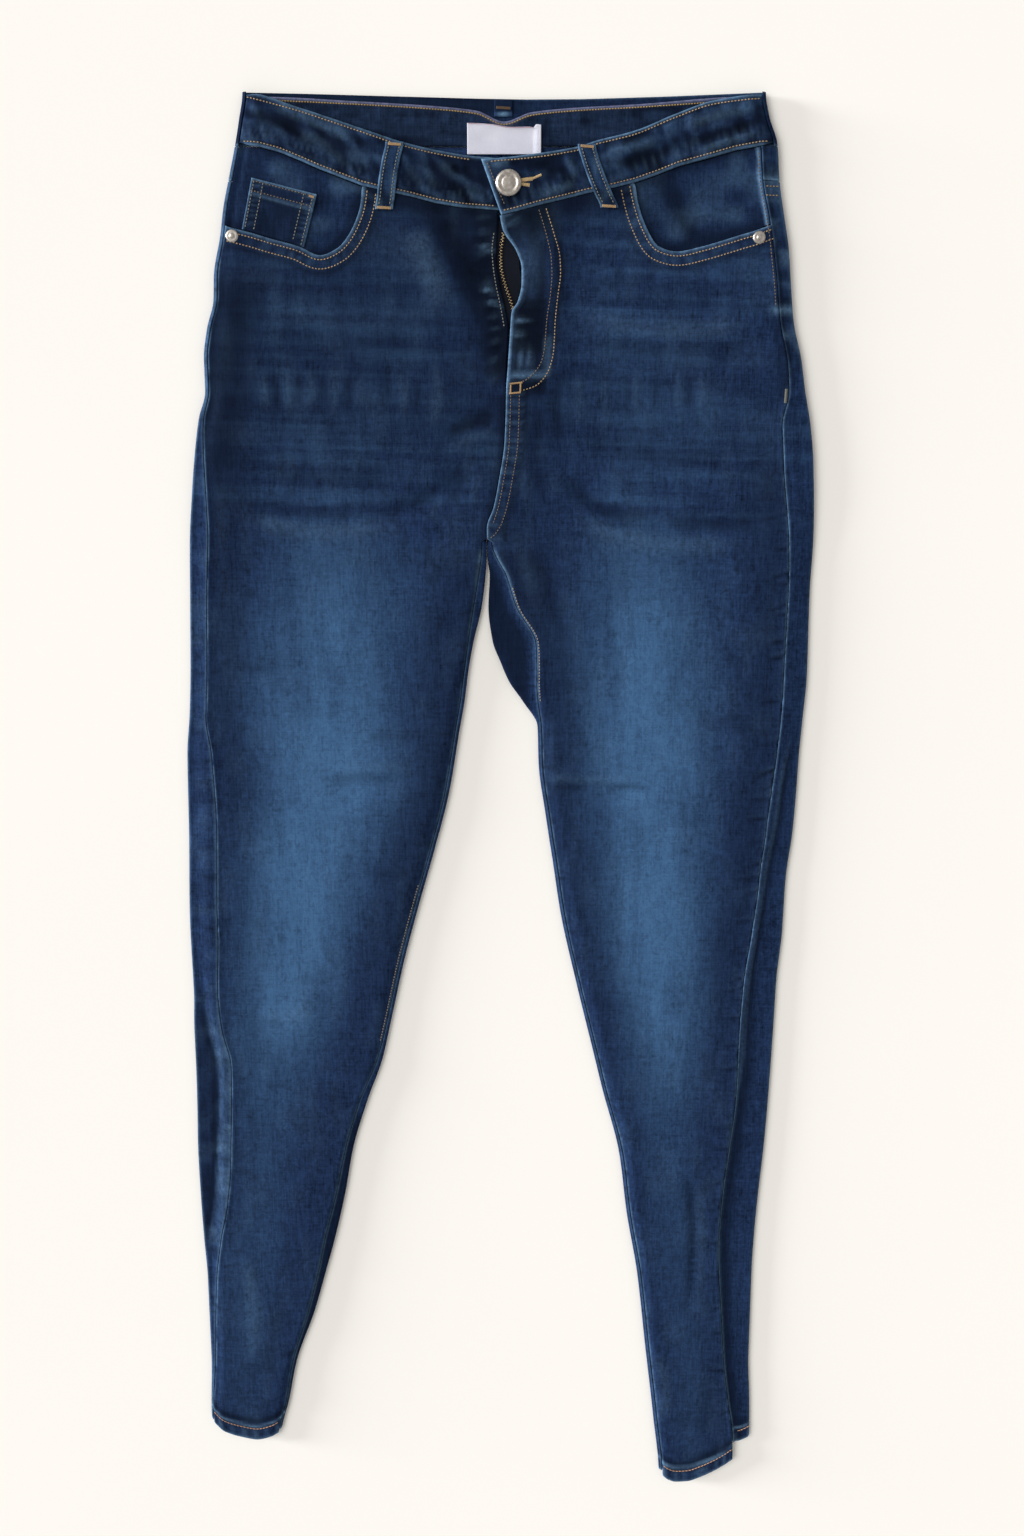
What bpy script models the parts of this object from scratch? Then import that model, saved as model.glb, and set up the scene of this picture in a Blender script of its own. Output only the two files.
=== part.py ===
"""Slim fit jeans, laid flat on their back with the front up.

Sizes are in millimetres until the points are written to a mesh. X runs across the jeans, Y from the hems
(low) to the waistband (high), and Z up from the surface they lie on. Left and right are as seen from the
front. A leg or the seat is a flattened tube: a flat underside, a rounded edge at each side and a top whose
height changes softly. Each panel is a wall cut out of that tube along its seams.
"""

import math

import bmesh
import bpy

MM = 0.001
MIDDLE_Y = 2.0          # middle of the whole length, moved to Y = 0 in the model

WALL = 1.2              # denim
SEAM = 0.3              # clearance between pieces that are sewn together
BAND_WALL = 2.4         # folded waistband
HEM_WALL = 2.0          # leg end, turned up twice
BACK_HEM_WALL = 1.6
BAND_SIDE_INSET = 3     # side seam of the waistband, inside the outline
HEM_DEPTH = 10.5
HEM_ROWS = 5            # rows of points at a leg end, below the straight rows
EDGE_RADIUS = 1.8       # rounding where a tube is pressed flat
SEAT_RADIUS = 0.2       # added to it at the seat
SEAT_LIFT = 1.5         # the seat rests on its back pockets
SEAT_START = 210.0      # height on the jeans at which the seat starts to rise
SEAT_RUN = 80.0         # and over which it does
LEG_START = 246.0       # height below which each leg is a tube of its own
LEG_RUN = 14.0          # and over which its inner side rounds off
PRESSED = 2.0           # distance from the outline at which an unstepped edge starts to swell
BAND_PROUD = 0.4        # the waistband stands this much over the fronts
BAND_SEAT = 470.0       # lowest height on the jeans at which the waistband follows them
LEFT_END_DIP = 0.9      # the left end of the waistband dips beneath the right one
LEFT_END_FROM = -42.0
LEFT_END_RUN = 30.0
RIGHT_END_RISE = 1.8
RIGHT_END_FROM = 72.0
RIGHT_END_RUN = 34.0
FLY_DIP = 0.5           # the left front dips beneath the fly
FLY_RISE = 1.6          # the right front is lifted by the layers of the fly
SLIDER_RISE = 0.9       # and a little more by the slider
ZIP_END = 343.0         # height on the jeans at which the fly closes
THIN_WALL = 0.6         # zip tape and label

WAIST_SEAM_BACK = 509.0
BACK_TOP = 544.0
YOKE_SIDE = 486.0
YOKE_CENTRE = 452.0
CROTCH = 238.5
STRAIGHT_ROW = 400.0    # below this height the rows of a panel run straight across
COLLECTION = "slim_fit_jeans"

DENIM = (0.028, 0.052, 0.115)
DENIM_INSIDE = (0.060, 0.085, 0.150)
COTTON = (0.55, 0.53, 0.48)
BRASS = (0.55, 0.40, 0.18)
PEWTER = (0.55, 0.53, 0.50)
LABEL_WHITE = (0.72, 0.72, 0.78)

# Outer side of each half: height on the jeans, outline, seam inside the outline, where the swell starts
# inside the outline, and how wide the swell's shoulder is.
OUTER = {
    "left": (
        # y, outline, seam, step, shoulder
        (544, -171, 3, 2, 10),
        (526, -174, 3, 2, 10),
        (511, -177, 3, 2, 10),
        (490, -182, 3, 2, 10),
        (469, -187, 3, 2, 10),
        (450, -190, 3, 2, 10),
        (424, -195.5, 3, 2, 12),
        (407, -196.5, 3, 2, 12),
        (387, -202, 3, 2, 12),
        (366, -205, 3, 2, 12),
        (345, -205, 3, 2, 12),
        (325, -210.5, 4, 2, 14),
        (300, -214.5, 7, 2, 14),
        (270, -218, 11, 3, 14),
        (238, -221, 14, 3, 14),
        (190, -223, 13, 3, 14),
        (140, -225, 13, 3, 14),
        (110, -227, 13, 3, 14),
        (80, -230, 19, 3, 14),
        (20, -231.5, 22, 3, 14),
        (-60, -234, 22, 4, 14),
        (-110, -233.5, 19.5, 7, 9),
        (-140, -234.5, 22.5, 12, 7),
        (-170, -234.5, 28.5, 17.5, 6),
        (-205, -235, 28, 17, 6),
        (-245, -236, 27, 16, 6),
        (-285, -235.5, 22.5, 13.5, 7),
        (-320, -234.5, 14.5, 7, 9),
        (-355, -233, 8, 3, 10),
        (-425, -233, 4, 2, 10),
        (-480, -235, 2, 1.5, 8),
        (-502, -235, 2, 1.5, 8),
    ),
    "right": (
        (544, 189, 12, 2, 10),
        (528, 192, 12, 2, 10),
        (511, 198, 12, 2, 10),
        (486, 200.5, 12, 2, 10),
        (461, 205, 11, 2, 10),
        (442, 208.5, 11, 2, 12),
        (413, 211.5, 10, 2, 12),
        (392, 214, 10, 2, 12),
        (366, 220.5, 10.5, 2, 12),
        (345, 224, 12, 2, 14),
        (320, 229, 21, 3, 14),
        (295, 232, 22, 3, 14),
        (238, 234.5, 18.5, 3, 14),
        (200, 233.5, 16.5, 3, 14),
        (140, 234, 18, 3, 14),
        (105, 232, 17, 3, 12),
        (80, 230.5, 17.5, 6, 9),
        (50, 229.5, 19.5, 10, 6),
        (20, 228, 21, 13, 6),
        (-20, 224, 21, 15, 5),
        (-60, 223, 24, 17, 5),
        (-100, 220, 26, 19, 5),
        (-140, 219, 27, 22, 5),
        (-200, 217, 26, 23, 5),
        (-240, 215, 28, 25, 5),
        (-280, 212, 29, 26, 5),
        (-315, 210, 29, 26, 5),
        (-350, 209, 27, 24, 5),
        (-385, 209, 24, 21, 5),
        (-425, 209, 21, 18, 5),
        (-465, 211, 18, 15, 5),
        (-500, 212, 14, 11, 5),
        (-540, 212, 13, 10, 5),
    ),
}

# Inner side of each leg: height, outline, seam inside the outline, and the width of the swell's shoulder.
INNER = {
    "left": (
        # y, outline, seam, shoulder
        (244, -4.15, 3, 5),
        (226, -4.2, 4, 5),
        (214, -5, 5, 5),
        (190, -8, 6, 5),
        (165, -14, 4, 5),
        (143, -18, 3, 6),
        (120, -21, 3, 8),
        (100, -24.6, 3, 8),
        (50, -33.2, 3, 10),
        (6, -44.5, 3, 10),
        (-38, -57, 3, 10),
        (-83, -69, 3, 10),
        (-130, -79.5, 3, 8),
        (-165, -87.5, 4, 6),
        (-200, -100, 6, 5),
        (-240, -112, 6, 5),
        (-280, -119.5, 7, 5),
        (-315, -127.5, 8, 5),
        (-350, -137, 6, 5),
        (-385, -147, 5, 5),
        (-430, -162.8, 3, 6),
        (-465, -170, 2.2, 6),
        (-502, -178, 1.8, 6),
    ),
    "right": (
        (244, -3.85, 3, 5),
        (234, -3.8, 4, 5),
        (226, -3.5, 7, 5),
        (214, -2, 12, 5),
        (190, -3, 21, 5),
        (165, 0, 32, 5),
        (149, 6, 27, 5),
        (135, 12, 21, 5),
        (119, 23, 11, 6),
        (101, 33.5, 3, 8),
        (72, 34.5, 3, 10),
        (32, 40, 3, 10),
        (-5, 45.7, 3, 10),
        (-45, 51.8, 3, 10),
        (-101, 64.2, 3, 10),
        (-158, 78, 3, 8),
        (-190, 85.7, 3, 8),
        (-245, 99.9, 3, 8),
        (-296, 106.6, 3, 8),
        (-350, 116, 3, 8),
        (-417, 123.9, 3, 6),
        (-480, 131.5, 3, 6),
        (-540, 137.5, 3, 6),
    ),
}

# Height of the swollen top above the surface.
FULL_HEIGHT = ((544, 7.4), (400, 7.2), (300, 7.0), (238, 6.7), (100, 6.3), (-455, 6.0), (-500, 5.0),
               (-540, 4.9))

# Seam of the two fronts below the zip, and the two fronts' fly edges above it.
RISE = ((342, 10), (310, 9), (283, 5), (263, 1), (248, -4), (238, -4))
FLY_EDGE = {
    "left": ((342, 10), (360, 10.6), (388, 12), (399, 10), (418, 6), (435, 3.5), (448, 4), (470, 5)),
    "right": ((342, 10), (360, 11.2), (386, 13), (399, 14), (405, 18), (418, 21), (428, 21), (440, 17),
              (453, 8), (462, 6), (470, 5)),
}

# Pocket opening of each front panel, from its outer seam to the waist seam. The share is the share of the
# panel's width at which the same column stands lower down.
POCKET_EDGE = {
    "left": (
        # share, x, y
        (0.0, -187, 457),
        (0.02, -182, 455.5),
        (0.045, -176, 454),
        (0.08, -166, 451.5),
        (0.14, -154, 448),
        (0.22, -135, 443),
        (0.32, -120, 437),
        (0.42, -108, 441.5),
        (0.5, -98, 453),
        (0.58, -91, 470),
    ),
    "right": (
        (0.0, 194.5, 457),
        (0.02, 190, 455.5),
        (0.045, 183, 453),
        (0.08, 174, 450.5),
        (0.14, 164, 447.5),
        (0.22, 148, 443),
        (0.32, 130, 439.5),
        (0.42, 117, 443),
        (0.5, 107, 458),
        (0.58, 102, 472),
    ),
}

# Waist seam of the front, from the side to the fly. From POCKET_CORNER on it is the front panel's top edge.
WAIST_SEAM = {
    "left": ((-174, 509), (-160, 508), (-146, 504.5), (-132, 499), (-119, 493.5), (-104, 488), (-89, 482.5),
             (-73, 479), (-56, 475.5), (-38, 471), (-22, 468.5), (-8, 467.5), (5, 466.5), (26, 467)),
    "right": ((194, 509), (185, 508.5), (168, 505.5), (148, 500), (130, 495.5), (114, 489.5), (99, 484.5),
              (84, 481), (66, 477.5), (48, 473), (31, 469), (18, 465.5), (7, 463)),
}
POCKET_CORNER = 6
WAIST_SHARES = (0.64, 0.72, 0.80, 0.87, 0.93, 0.97, 1.0)

# Upper edge of the front waistband, from the side to the centre.
BAND_TOP = {
    "left": ((-168, 543), (-132, 533.5), (-103, 524.5), (-78, 516.5), (-62, 511.5), (-35, 505.5), (-10, 502),
             (26, 500)),
    "right": ((186, 542), (153, 538), (127, 529.5), (99, 518.5), (74, 512.5), (59, 508), (31, 503.5),
              (-7, 500)),
}

# Leg ends: x and y along the lower edge, from the outer to the inner side. The backs end a little higher.
FRONT_HEM = {
    "left": ((-235, -484), (-230.5, -489), (-223, -495), (-210, -499.5), (-197, -502), (-186, -499.3),
             (-178, -495), (-174, -491.5)),
    "right": ((201, -520), (192, -526), (182, -532.5), (171, -538), (161, -541.5), (151, -542),
              (145, -540), (138, -536)),
}
BACK_HEM = {
    "left": ((-235, -483), (-230.5, -488.5), (-223, -494), (-210, -498), (-197, -500), (-186, -497),
             (-178, -493), (-174, -490)),
    "right": ((216, -492), (213, -498.5), (204, -504), (195, -507), (186, -512.5), (176, -520.5),
              (165, -529.5), (157, -535), (148, -536), (138, -531.5)),
}

# How far the upper edge of the back waistband sags below BACK_TOP, most where the centre loop presses on it.
TOP_SAG = ((-168, 0), (-120, 1.0), (-60, 2.6), (-2, 4.1), (1, 6.0), (16, 6.2), (19, 4.5), (64, 4.2),
           (120, 2.6), (177, 0.4), (186, 0))
TOP_SAG_START = 520.0   # height on the jeans at which the sag starts
BAND_UNDERSIDE = (-166, -140, -110, -80, -50, -20, -2, 1, 16, 19, 40, 70, 100, 130, 160, 183)

# Largest soft creases of the fronts: three points along each, how deep (down is negative) and how wide.
CREASES = (
    # x1, y1, x2, y2, x3, y3, height, half width
    (-185, 280, -112, 250, -40, 268, -1.3, 11),
    (-60, 262, -34, 276, -14, 296, -1.0, 9),
    (44, 294, 92, 258, 150, 252, -1.3, 11),
    (135, 250, 170, 252, 205, 260, -1.0, 10),
    (-170, 372, -100, 356, -30, 366, -0.8, 10),
    (50, 372, 120, 350, 195, 366, -0.8, 10),
    (36, 56, 80, 50, 122, 54, -0.9, 8),
    (-120, 52, -85, 60, -48, 66, -0.8, 9),
    (160, -262, 166, -320, 164, -385, -0.9, 8),
    (-222, 45, -218, -30, -222, -110, 0.6, 7),
)

# Straight rows of the leg panels, and the shares of the width at which the columns stand.
STRAIGHT_ROWS = (400, 375, 356, 342, 318, 295, 277, 260, 243, 238.5, 234, 222, 208, 190, 166, 143, 120, 98,
                 70, 52, 30, -20, -70, -115, -145, -170, -200, -240, -280, -320, -360, -400, -440)
FRONT_SHARES = tuple(row[0] for row in POCKET_EDGE["left"]) + WAIST_SHARES

# Rows that the front, back, yoke and pocket facing share at the side, so that their edges match.
FRONT_SIDE_ROWS = (457, 445.6, 434.2, 422.8, 411.4)
BACK_SIDE_ROWS = (486, 471.5) + FRONT_SIDE_ROWS
YOKE_SIDE_ROWS = (509, 497.5, 486)
BAND_SIDE_ROWS = (511, 518.75, 526.5, 534.25, 542)

BUTTON_AT = (12, 484)
RIVETS_AT = {"left": (-181, 449.5), "right": (187, 448.5)}


# ---------------------------------------------------------------- small mathematics

def smooth(value):
    """0 below 0, 1 above 1, and a soft S between."""
    clipped = min(1.0, max(0.0, value))
    return clipped * clipped * (3 - 2 * clipped)


def curve(rows, at, column=1):
    """Value of a column at a place in the first column, along a smooth curve through the rows."""
    places = [row[0] for row in rows]
    values = [row[column] for row in rows]
    if places[0] > places[-1]:
        places.reverse()
        values.reverse()
    if at <= places[0]:
        return values[0]
    if at >= places[-1]:
        return values[-1]
    index = max(i for i in range(len(places) - 1) if places[i] <= at)

    def slope(i):
        if i == 0 or i == len(places) - 1:
            return 0.0
        before = (values[i] - values[i - 1]) / (places[i] - places[i - 1])
        after = (values[i + 1] - values[i]) / (places[i + 1] - places[i])
        if before * after <= 0:
            return 0.0
        return 2 * before * after / (before + after)

    width = places[index + 1] - places[index]
    t = (at - places[index]) / width
    start, end = values[index], values[index + 1]
    bend = (2 * t ** 3 - 3 * t ** 2 + 1) * start + (3 * t ** 2 - 2 * t ** 3) * end
    lean = (t ** 3 - 2 * t ** 2 + t) * slope(index) + (t ** 3 - t ** 2) * slope(index + 1)
    return bend + lean * width


def line(rows, at, column=1):
    """Value of a column at a place in the first column, along straight lines between the rows."""
    ordered = sorted(rows)
    if at <= ordered[0][0]:
        return ordered[0][column]
    for before, after in zip(ordered, ordered[1:]):
        if at <= after[0]:
            share = (at - before[0]) / (after[0] - before[0])
            return before[column] + (after[column] - before[column]) * share
    return ordered[-1][column]


def mix(start, end, share):
    return start + (end - start) * share


# ---------------------------------------------------------------- the flattened tube

def inward(side):
    """Direction in X from the outer outline to the middle of the jeans."""
    return 1 if side == "left" else -1


def seat_lift(y):
    return SEAT_LIFT * smooth((y - SEAT_START) / SEAT_RUN)


def edge_radius(y):
    return EDGE_RADIUS + SEAT_RADIUS * smooth((y - SEAT_START) / SEAT_RUN)


def crease_height(x, y):
    """Sum of the soft creases at a point of the fronts."""
    total = 0.0
    for x1, y1, x2, y2, x3, y3, height, half_width in CREASES:
        nearest = 1e9
        along = 0.0
        for step in range(13):
            t = step / 12
            cx = (1 - t) ** 2 * x1 + 2 * t * (1 - t) * (2 * x2 - (x1 + x3) / 2) + t * t * x3
            cy = (1 - t) ** 2 * y1 + 2 * t * (1 - t) * (2 * y2 - (y1 + y3) / 2) + t * t * y3
            distance = math.hypot(x - cx, y - cy)
            if distance < nearest:
                nearest = distance
                along = t
        if nearest < 2.5 * half_width:
            fade = smooth(along / 0.2) * smooth((1 - along) / 0.2)
            total += height * fade * math.exp(-(nearest / half_width) ** 2)
    return total


def fly_height(side, x, y):
    """The right front is lifted by the layers of the fly, and the left front dips beneath it."""
    length = smooth((y - ZIP_END) / 12)
    if side == "left":
        return -FLY_DIP * length * smooth((x + 25) / 20)
    top = SLIDER_RISE * smooth((y - 444) / 8) * smooth((34 - x) / 10)
    return (FLY_RISE + top) * length * smooth((62 - x) / 16)


def top_height(side, x, y):
    """Height of the fronts' outer face above the surface."""
    inset = (x - curve(OUTER[side], y, 1)) * inward(side)
    radius = edge_radius(y)
    pressed = seat_lift(y) + 2 * radius
    swell = smooth((inset - curve(OUTER[side], y, 3)) / curve(OUTER[side], y, 4))
    leg = smooth((LEG_START - y) / LEG_RUN)
    if leg > 0:
        from_inner = (curve(INNER[side], y, 1) - x) * inward(side)
        start = max(PRESSED, curve(INNER[side], y, 2) - 2)
        inner_swell = smooth((from_inner - start) / curve(INNER[side], y, 3))
        swell *= mix(1.0, inner_swell, leg)
    height = pressed + (curve(FULL_HEIGHT, y) - pressed) * swell
    return height + swell * (crease_height(x, y) + fly_height(side, x, y))


def front_edges(side, y):
    """X of a front panel's outer seam and of its fly, rise or inner seam at a height."""
    direction = inward(side)
    outer = curve(OUTER[side], y, 1) + direction * (curve(OUTER[side], y, 2) + SEAM / 2)
    if y >= 342:
        inner = curve(FLY_EDGE[side], y) - direction * SEAM / 2
    elif y >= CROTCH:
        gap = SEAM / 2 if y > CROTCH else 2 * SEAM
        inner = curve(RISE, y) - direction * gap
    else:
        inner = curve(INNER[side], y, 1) - direction * (curve(INNER[side], y, 2) + SEAM / 2)
    return outer, inner


def lower_rows(edge, x_at):
    """Rows of a turned-up leg end below the last straight row, for a column that stands at x_at(y)."""
    end = STRAIGHT_ROWS[-1]
    for _ in range(5):
        end = line(edge, x_at(end))
    turned = end + HEM_DEPTH
    last = STRAIGHT_ROWS[-1]
    return [mix(last, turned, 0.55), turned + 0.5, turned, end + 5, end]


# ---------------------------------------------------------------- meshes

def material(name, colour, roughness, metallic=0.0):
    made = bpy.data.materials.get(name)
    if made is None:
        made = bpy.data.materials.new(name)
        made.use_nodes = True
        shader = made.node_tree.nodes["Principled BSDF"]
        shader.inputs["Base Color"].default_value = (*colour, 1.0)
        shader.inputs["Roughness"].default_value = roughness
        shader.inputs["Metallic"].default_value = metallic
    return made


def to_metres(point):
    return (point[0] * MM, (point[1] - MIDDLE_Y) * MM, point[2] * MM)


def add_object(name, mesh, look):
    made = bpy.data.objects.new(name, mesh)
    mesh.materials.append(look)
    bpy.data.collections[COLLECTION].objects.link(made)
    return made


def add_wall(name, rows, look):
    """A closed wall from rows of (outer point, inner point) pairs."""
    shape = bmesh.new()
    outer = [[shape.verts.new(to_metres(pair[0])) for pair in row] for row in rows]
    inner = [[shape.verts.new(to_metres(pair[1])) for pair in row] for row in rows]
    last_row = len(rows) - 1
    last_column = len(rows[0]) - 1
    for i in range(last_row):
        for j in range(last_column):
            shape.faces.new((outer[i][j], outer[i + 1][j], outer[i + 1][j + 1], outer[i][j + 1]))
            shape.faces.new((inner[i][j], inner[i][j + 1], inner[i + 1][j + 1], inner[i + 1][j]))
    for i in range(last_row):
        for j in (0, last_column):
            shape.faces.new((outer[i][j], inner[i][j], inner[i + 1][j], outer[i + 1][j]))
    for j in range(last_column):
        for i in (0, last_row):
            shape.faces.new((outer[i][j], outer[i][j + 1], inner[i][j + 1], inner[i][j]))
    bmesh.ops.recalc_face_normals(shape, faces=shape.faces)
    if shape.calc_volume(signed=True) < 0:
        bmesh.ops.reverse_faces(shape, faces=shape.faces)
    mesh = bpy.data.meshes.new(name)
    shape.to_mesh(mesh)
    shape.free()
    mesh.shade_smooth()
    mesh.set_sharp_from_angle(angle=math.radians(50))
    return add_object(name, mesh, look)


def add_sheet(name, across, along, place, height, wall, look):
    """A wall over a patch: place(u, v) gives x and y, and height(x, y) the outer face."""
    rows = []
    for v in along:
        row = []
        for u in across:
            x, y = place(u, v)
            z = height(x, y)
            row.append(((x, y, z), (x, y, z - wall)))
        rows.append(row)
    return add_wall(name, rows, look)


def add_turned(name, profile, at, base, steps, look):
    """A round piece turned from (radius, height) points, standing at a place on the cloth."""
    mesh = bpy.data.meshes.new(name)
    points = [(radius * MM, 0.0, height * MM) for radius, height in profile]
    mesh.from_pydata(points, [(i, i + 1) for i in range(len(points) - 1)], [])
    made = add_object(name, mesh, look)
    made.location = to_metres((at[0], at[1], base))
    screw = made.modifiers.new("turn", "SCREW")
    screw.steps = steps
    screw.render_steps = steps
    screw.use_merge_vertices = True
    screw.merge_threshold = 0.00001
    screw.use_smooth_shade = True
    return made


def add_box(name, low, high, bevel, look):
    """A box between two corners with rounded edges."""
    shape = bmesh.new()
    bmesh.ops.create_cube(shape, size=1.0)
    middle = [(a + b) / 2 for a, b in zip(low, high)]
    size = [b - a for a, b in zip(low, high)]
    for vert in shape.verts:
        vert.co = [vert.co[k] * size[k] * MM for k in range(3)]
    mesh = bpy.data.meshes.new(name)
    shape.to_mesh(mesh)
    shape.free()
    made = add_object(name, mesh, look)
    made.location = to_metres(middle)
    rounding = made.modifiers.new("rounding", "BEVEL")
    rounding.width = bevel * MM
    rounding.segments = 2
    return made


def add_outline(name, outline, low, high, look):
    """A flat plate with the given outline."""
    shape = bmesh.new()
    corners = [shape.verts.new(to_metres((x, y, low))) for x, y in outline]
    face = shape.faces.new(corners)
    raised = bmesh.ops.extrude_face_region(shape, geom=[face])
    for item in raised["geom"]:
        if isinstance(item, bmesh.types.BMVert):
            item.co.z = high * MM
    bmesh.ops.recalc_face_normals(shape, faces=shape.faces)
    mesh = bpy.data.meshes.new(name)
    shape.to_mesh(mesh)
    shape.free()
    return add_object(name, mesh, look)


# ---------------------------------------------------------------- panels

def top_edge(side):
    """Rows of (share, x, y) along the whole top edge of a front panel."""
    waist = WAIST_SEAM[side][POCKET_CORNER:POCKET_CORNER + len(WAIST_SHARES)]
    return POCKET_EDGE[side] + tuple((share, x, y) for share, (x, y) in zip(WAIST_SHARES, waist))


def build_front(side, look):
    """A front panel from the pocket opening and the waist seam to the hem."""
    def pair(x, y, wall=WALL):
        z = top_height(side, x, y)
        return (x, y, z), (x, y, z - wall)

    rows = []
    for side_y in FRONT_SIDE_ROWS:
        down = (FRONT_SIDE_ROWS[0] - side_y) / (FRONT_SIDE_ROWS[0] - STRAIGHT_ROW)
        row = []
        for share, top_x, top_y in top_edge(side):
            y = mix(top_y - SEAM, STRAIGHT_ROW, down)
            outer, inner = front_edges(side, y)
            x = mix(top_x, mix(outer, inner, share), down)
            if share == 0.0:
                x = outer
            if share == 1.0:
                x = inner
            row.append(pair(x, y))
        rows.append(row)
    for y in STRAIGHT_ROWS:
        outer, inner = front_edges(side, y)
        rows.append([pair(mix(outer, inner, share), y) for share in FRONT_SHARES])
    lower = [lower_rows(FRONT_HEM[side], lambda y: mix(*front_edges(side, y), share))
             for share in FRONT_SHARES]
    for index in range(HEM_ROWS):
        wall = HEM_WALL if index > 1 else WALL
        row = []
        for share, column in zip(FRONT_SHARES, lower):
            y = column[index]
            row.append(pair(mix(*front_edges(side, y), share), y, wall))
        rows.append(row)
    add_wall("front_" + side, rows, look)


BACK_COLUMNS = (
    # part of the path, share along it
    ("outer strip", 0.0),
    ("outer strip", 0.4),
    ("outer edge", 0.0),
    ("outer edge", 0.33),
    ("outer edge", 0.67),
    ("outer edge", 1.0),
    ("underside", 0.5),
    ("inner edge", 0.0),
    ("inner edge", 0.33),
    ("inner edge", 0.67),
    ("inner edge", 1.0),
    ("inner strip", 0.6),
    ("inner strip", 1.0),
)
SEAT_COLUMNS = BACK_COLUMNS[:7] + (("inner strip", 1.0),)


def centre_back(y):
    """X of the seat seam."""
    return mix(-4.0, 9.0, (y - 240) / (BACK_TOP - 240))


def back_pair(side, part, share, y, wall, curl, seam=None):
    """Outer and inner point of the back at a height, on one part of its path round the tube.

    The path starts on top at the outer seam, runs round the outer edge, along the underside, and at a leg
    round the inner edge to the inner seam. curl is how far that last stretch is turned up: 0 at the seat,
    where it lies flat and ends at the seat seam, and 1 at the legs.
    """
    direction = inward(side)
    outline = curve(OUTER[side], y, 1)
    radius = edge_radius(y)
    floor = seat_lift(y)
    seam_inset = curve(OUTER[side], y, 2) if seam is None else seam
    leg_seam = curve(INNER[side], y, 2)
    turned = math.pi * radius
    tail = leg_seam - radius
    if curl == 0:
        width = (centre_back(y) - outline) * direction - SEAM / 2
        bend_start = width - turned - tail
    else:
        width = (curve(INNER[side], y, 1) - outline) * direction
        bend = radius * (1.6 - 0.6 * curl)
        bend_start = width - bend
    if part == "outer strip":
        inset = mix(seam_inset - SEAM / 2, radius, share)
        z = top_height(side, outline + direction * inset, y)
        outer, inner = (inset, z), (inset, z - wall)
    elif part == "outer edge":
        angle = math.pi * (0.5 - share)
        outer = (radius - radius * math.cos(angle), floor + radius + radius * math.sin(angle))
        within = radius - wall
        inner = (radius - within * math.cos(angle), floor + radius + within * math.sin(angle))
    elif part == "underside":
        inset = mix(radius, bend_start, share)
        outer, inner = (inset, floor), (inset, floor + wall)
    elif part == "inner edge":
        if curl == 0:
            inset = bend_start + turned * share
            outer, inner = (inset, floor), (inset, floor + wall)
        else:
            angle = curl * math.pi * share
            outer = (bend_start + bend * math.sin(angle), floor + bend * (1 - math.cos(angle)))
            inner = (outer[0] - wall * math.sin(angle), outer[1] + wall * math.cos(angle))
    else:
        if curl == 0:
            inset = bend_start + turned + tail * share
            outer, inner = (inset, floor), (inset, floor + wall)
        elif curl < 1:
            angle = curl * math.pi
            outer = (width, floor + bend + 0.2 * tail * share)
            inner = (outer[0] - wall * math.sin(angle), outer[1] + wall * math.cos(angle))
        else:
            inset = mix(width - radius, width - leg_seam + SEAM / 2, share)
            z = top_height(side, outline + direction * inset, y)
            outer, inner = (inset, z), (inset, z - wall)
    return tuple((outline + direction * inset, y, z) for inset, z in (outer, inner))


def curl_at(y):
    if y > CROTCH + 1:
        return 0
    if y > CROTCH - 1:
        return 0.5
    return 1


def yoke_seam(side, x):
    """Height of the yoke seam: level round the side, then falling to the seat seam."""
    start = curve(OUTER[side], YOKE_SIDE, 1)
    share = (x - start) / (centre_back(YOKE_CENTRE) - start)
    return mix(YOKE_SIDE, YOKE_CENTRE, max(0.0, share))


def seat_row(side, columns, low_share, side_y, limit_y):
    """One row of the seat between the yoke seam and a straight line at another height.

    low_share is 0 at the yoke seam and 1 at the straight line, and side_y is the row's height at the side.
    """
    row = []
    for part, share in columns:
        y = side_y
        if part != "outer strip" and part != "outer edge":
            for _ in range(3):
                x = back_pair(side, part, share, y, WALL, 0)[0][0]
                y = mix(yoke_seam(side, x), limit_y, low_share)
        row.append(back_pair(side, part, share, y, WALL, 0))
    return row


def build_back(side, look):
    """A back panel from the yoke seam to the hem."""
    rows = []
    for side_y in BACK_SIDE_ROWS:
        down = (YOKE_SIDE - side_y) / (YOKE_SIDE - STRAIGHT_ROW)
        rows.append(seat_row(side, BACK_COLUMNS, down, side_y, STRAIGHT_ROW))
    for y in STRAIGHT_ROWS:
        rows.append([back_pair(side, part, share, y, WALL, curl_at(y)) for part, share in BACK_COLUMNS])
    lower = [lower_rows(BACK_HEM[side], lambda y: back_pair(side, part, share, y, WALL, 1)[0][0])
             for part, share in BACK_COLUMNS]
    for index in range(HEM_ROWS):
        wall = BACK_HEM_WALL if index > 1 else WALL
        rows.append([back_pair(side, part, share, column[index], wall, 1)
                     for (part, share), column in zip(BACK_COLUMNS, lower)])
    add_wall("back_" + side, rows, look)


def build_yoke(side, look):
    """The piece between the waistband and the back panel."""
    rows = []
    for side_y in YOKE_SIDE_ROWS:
        up = (side_y - YOKE_SIDE) / (WAIST_SEAM_BACK - YOKE_SIDE)
        row = seat_row(side, SEAT_COLUMNS, up, side_y, WAIST_SEAM_BACK)
        gap = SEAM if side_y in (YOKE_SIDE, WAIST_SEAM_BACK) else 0.0
        lift = gap if side_y == YOKE_SIDE else -gap
        rows.append([tuple((x, y + lift, z) for x, y, z in pair) for pair in row])
    add_wall("yoke_" + side, rows, look)


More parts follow.
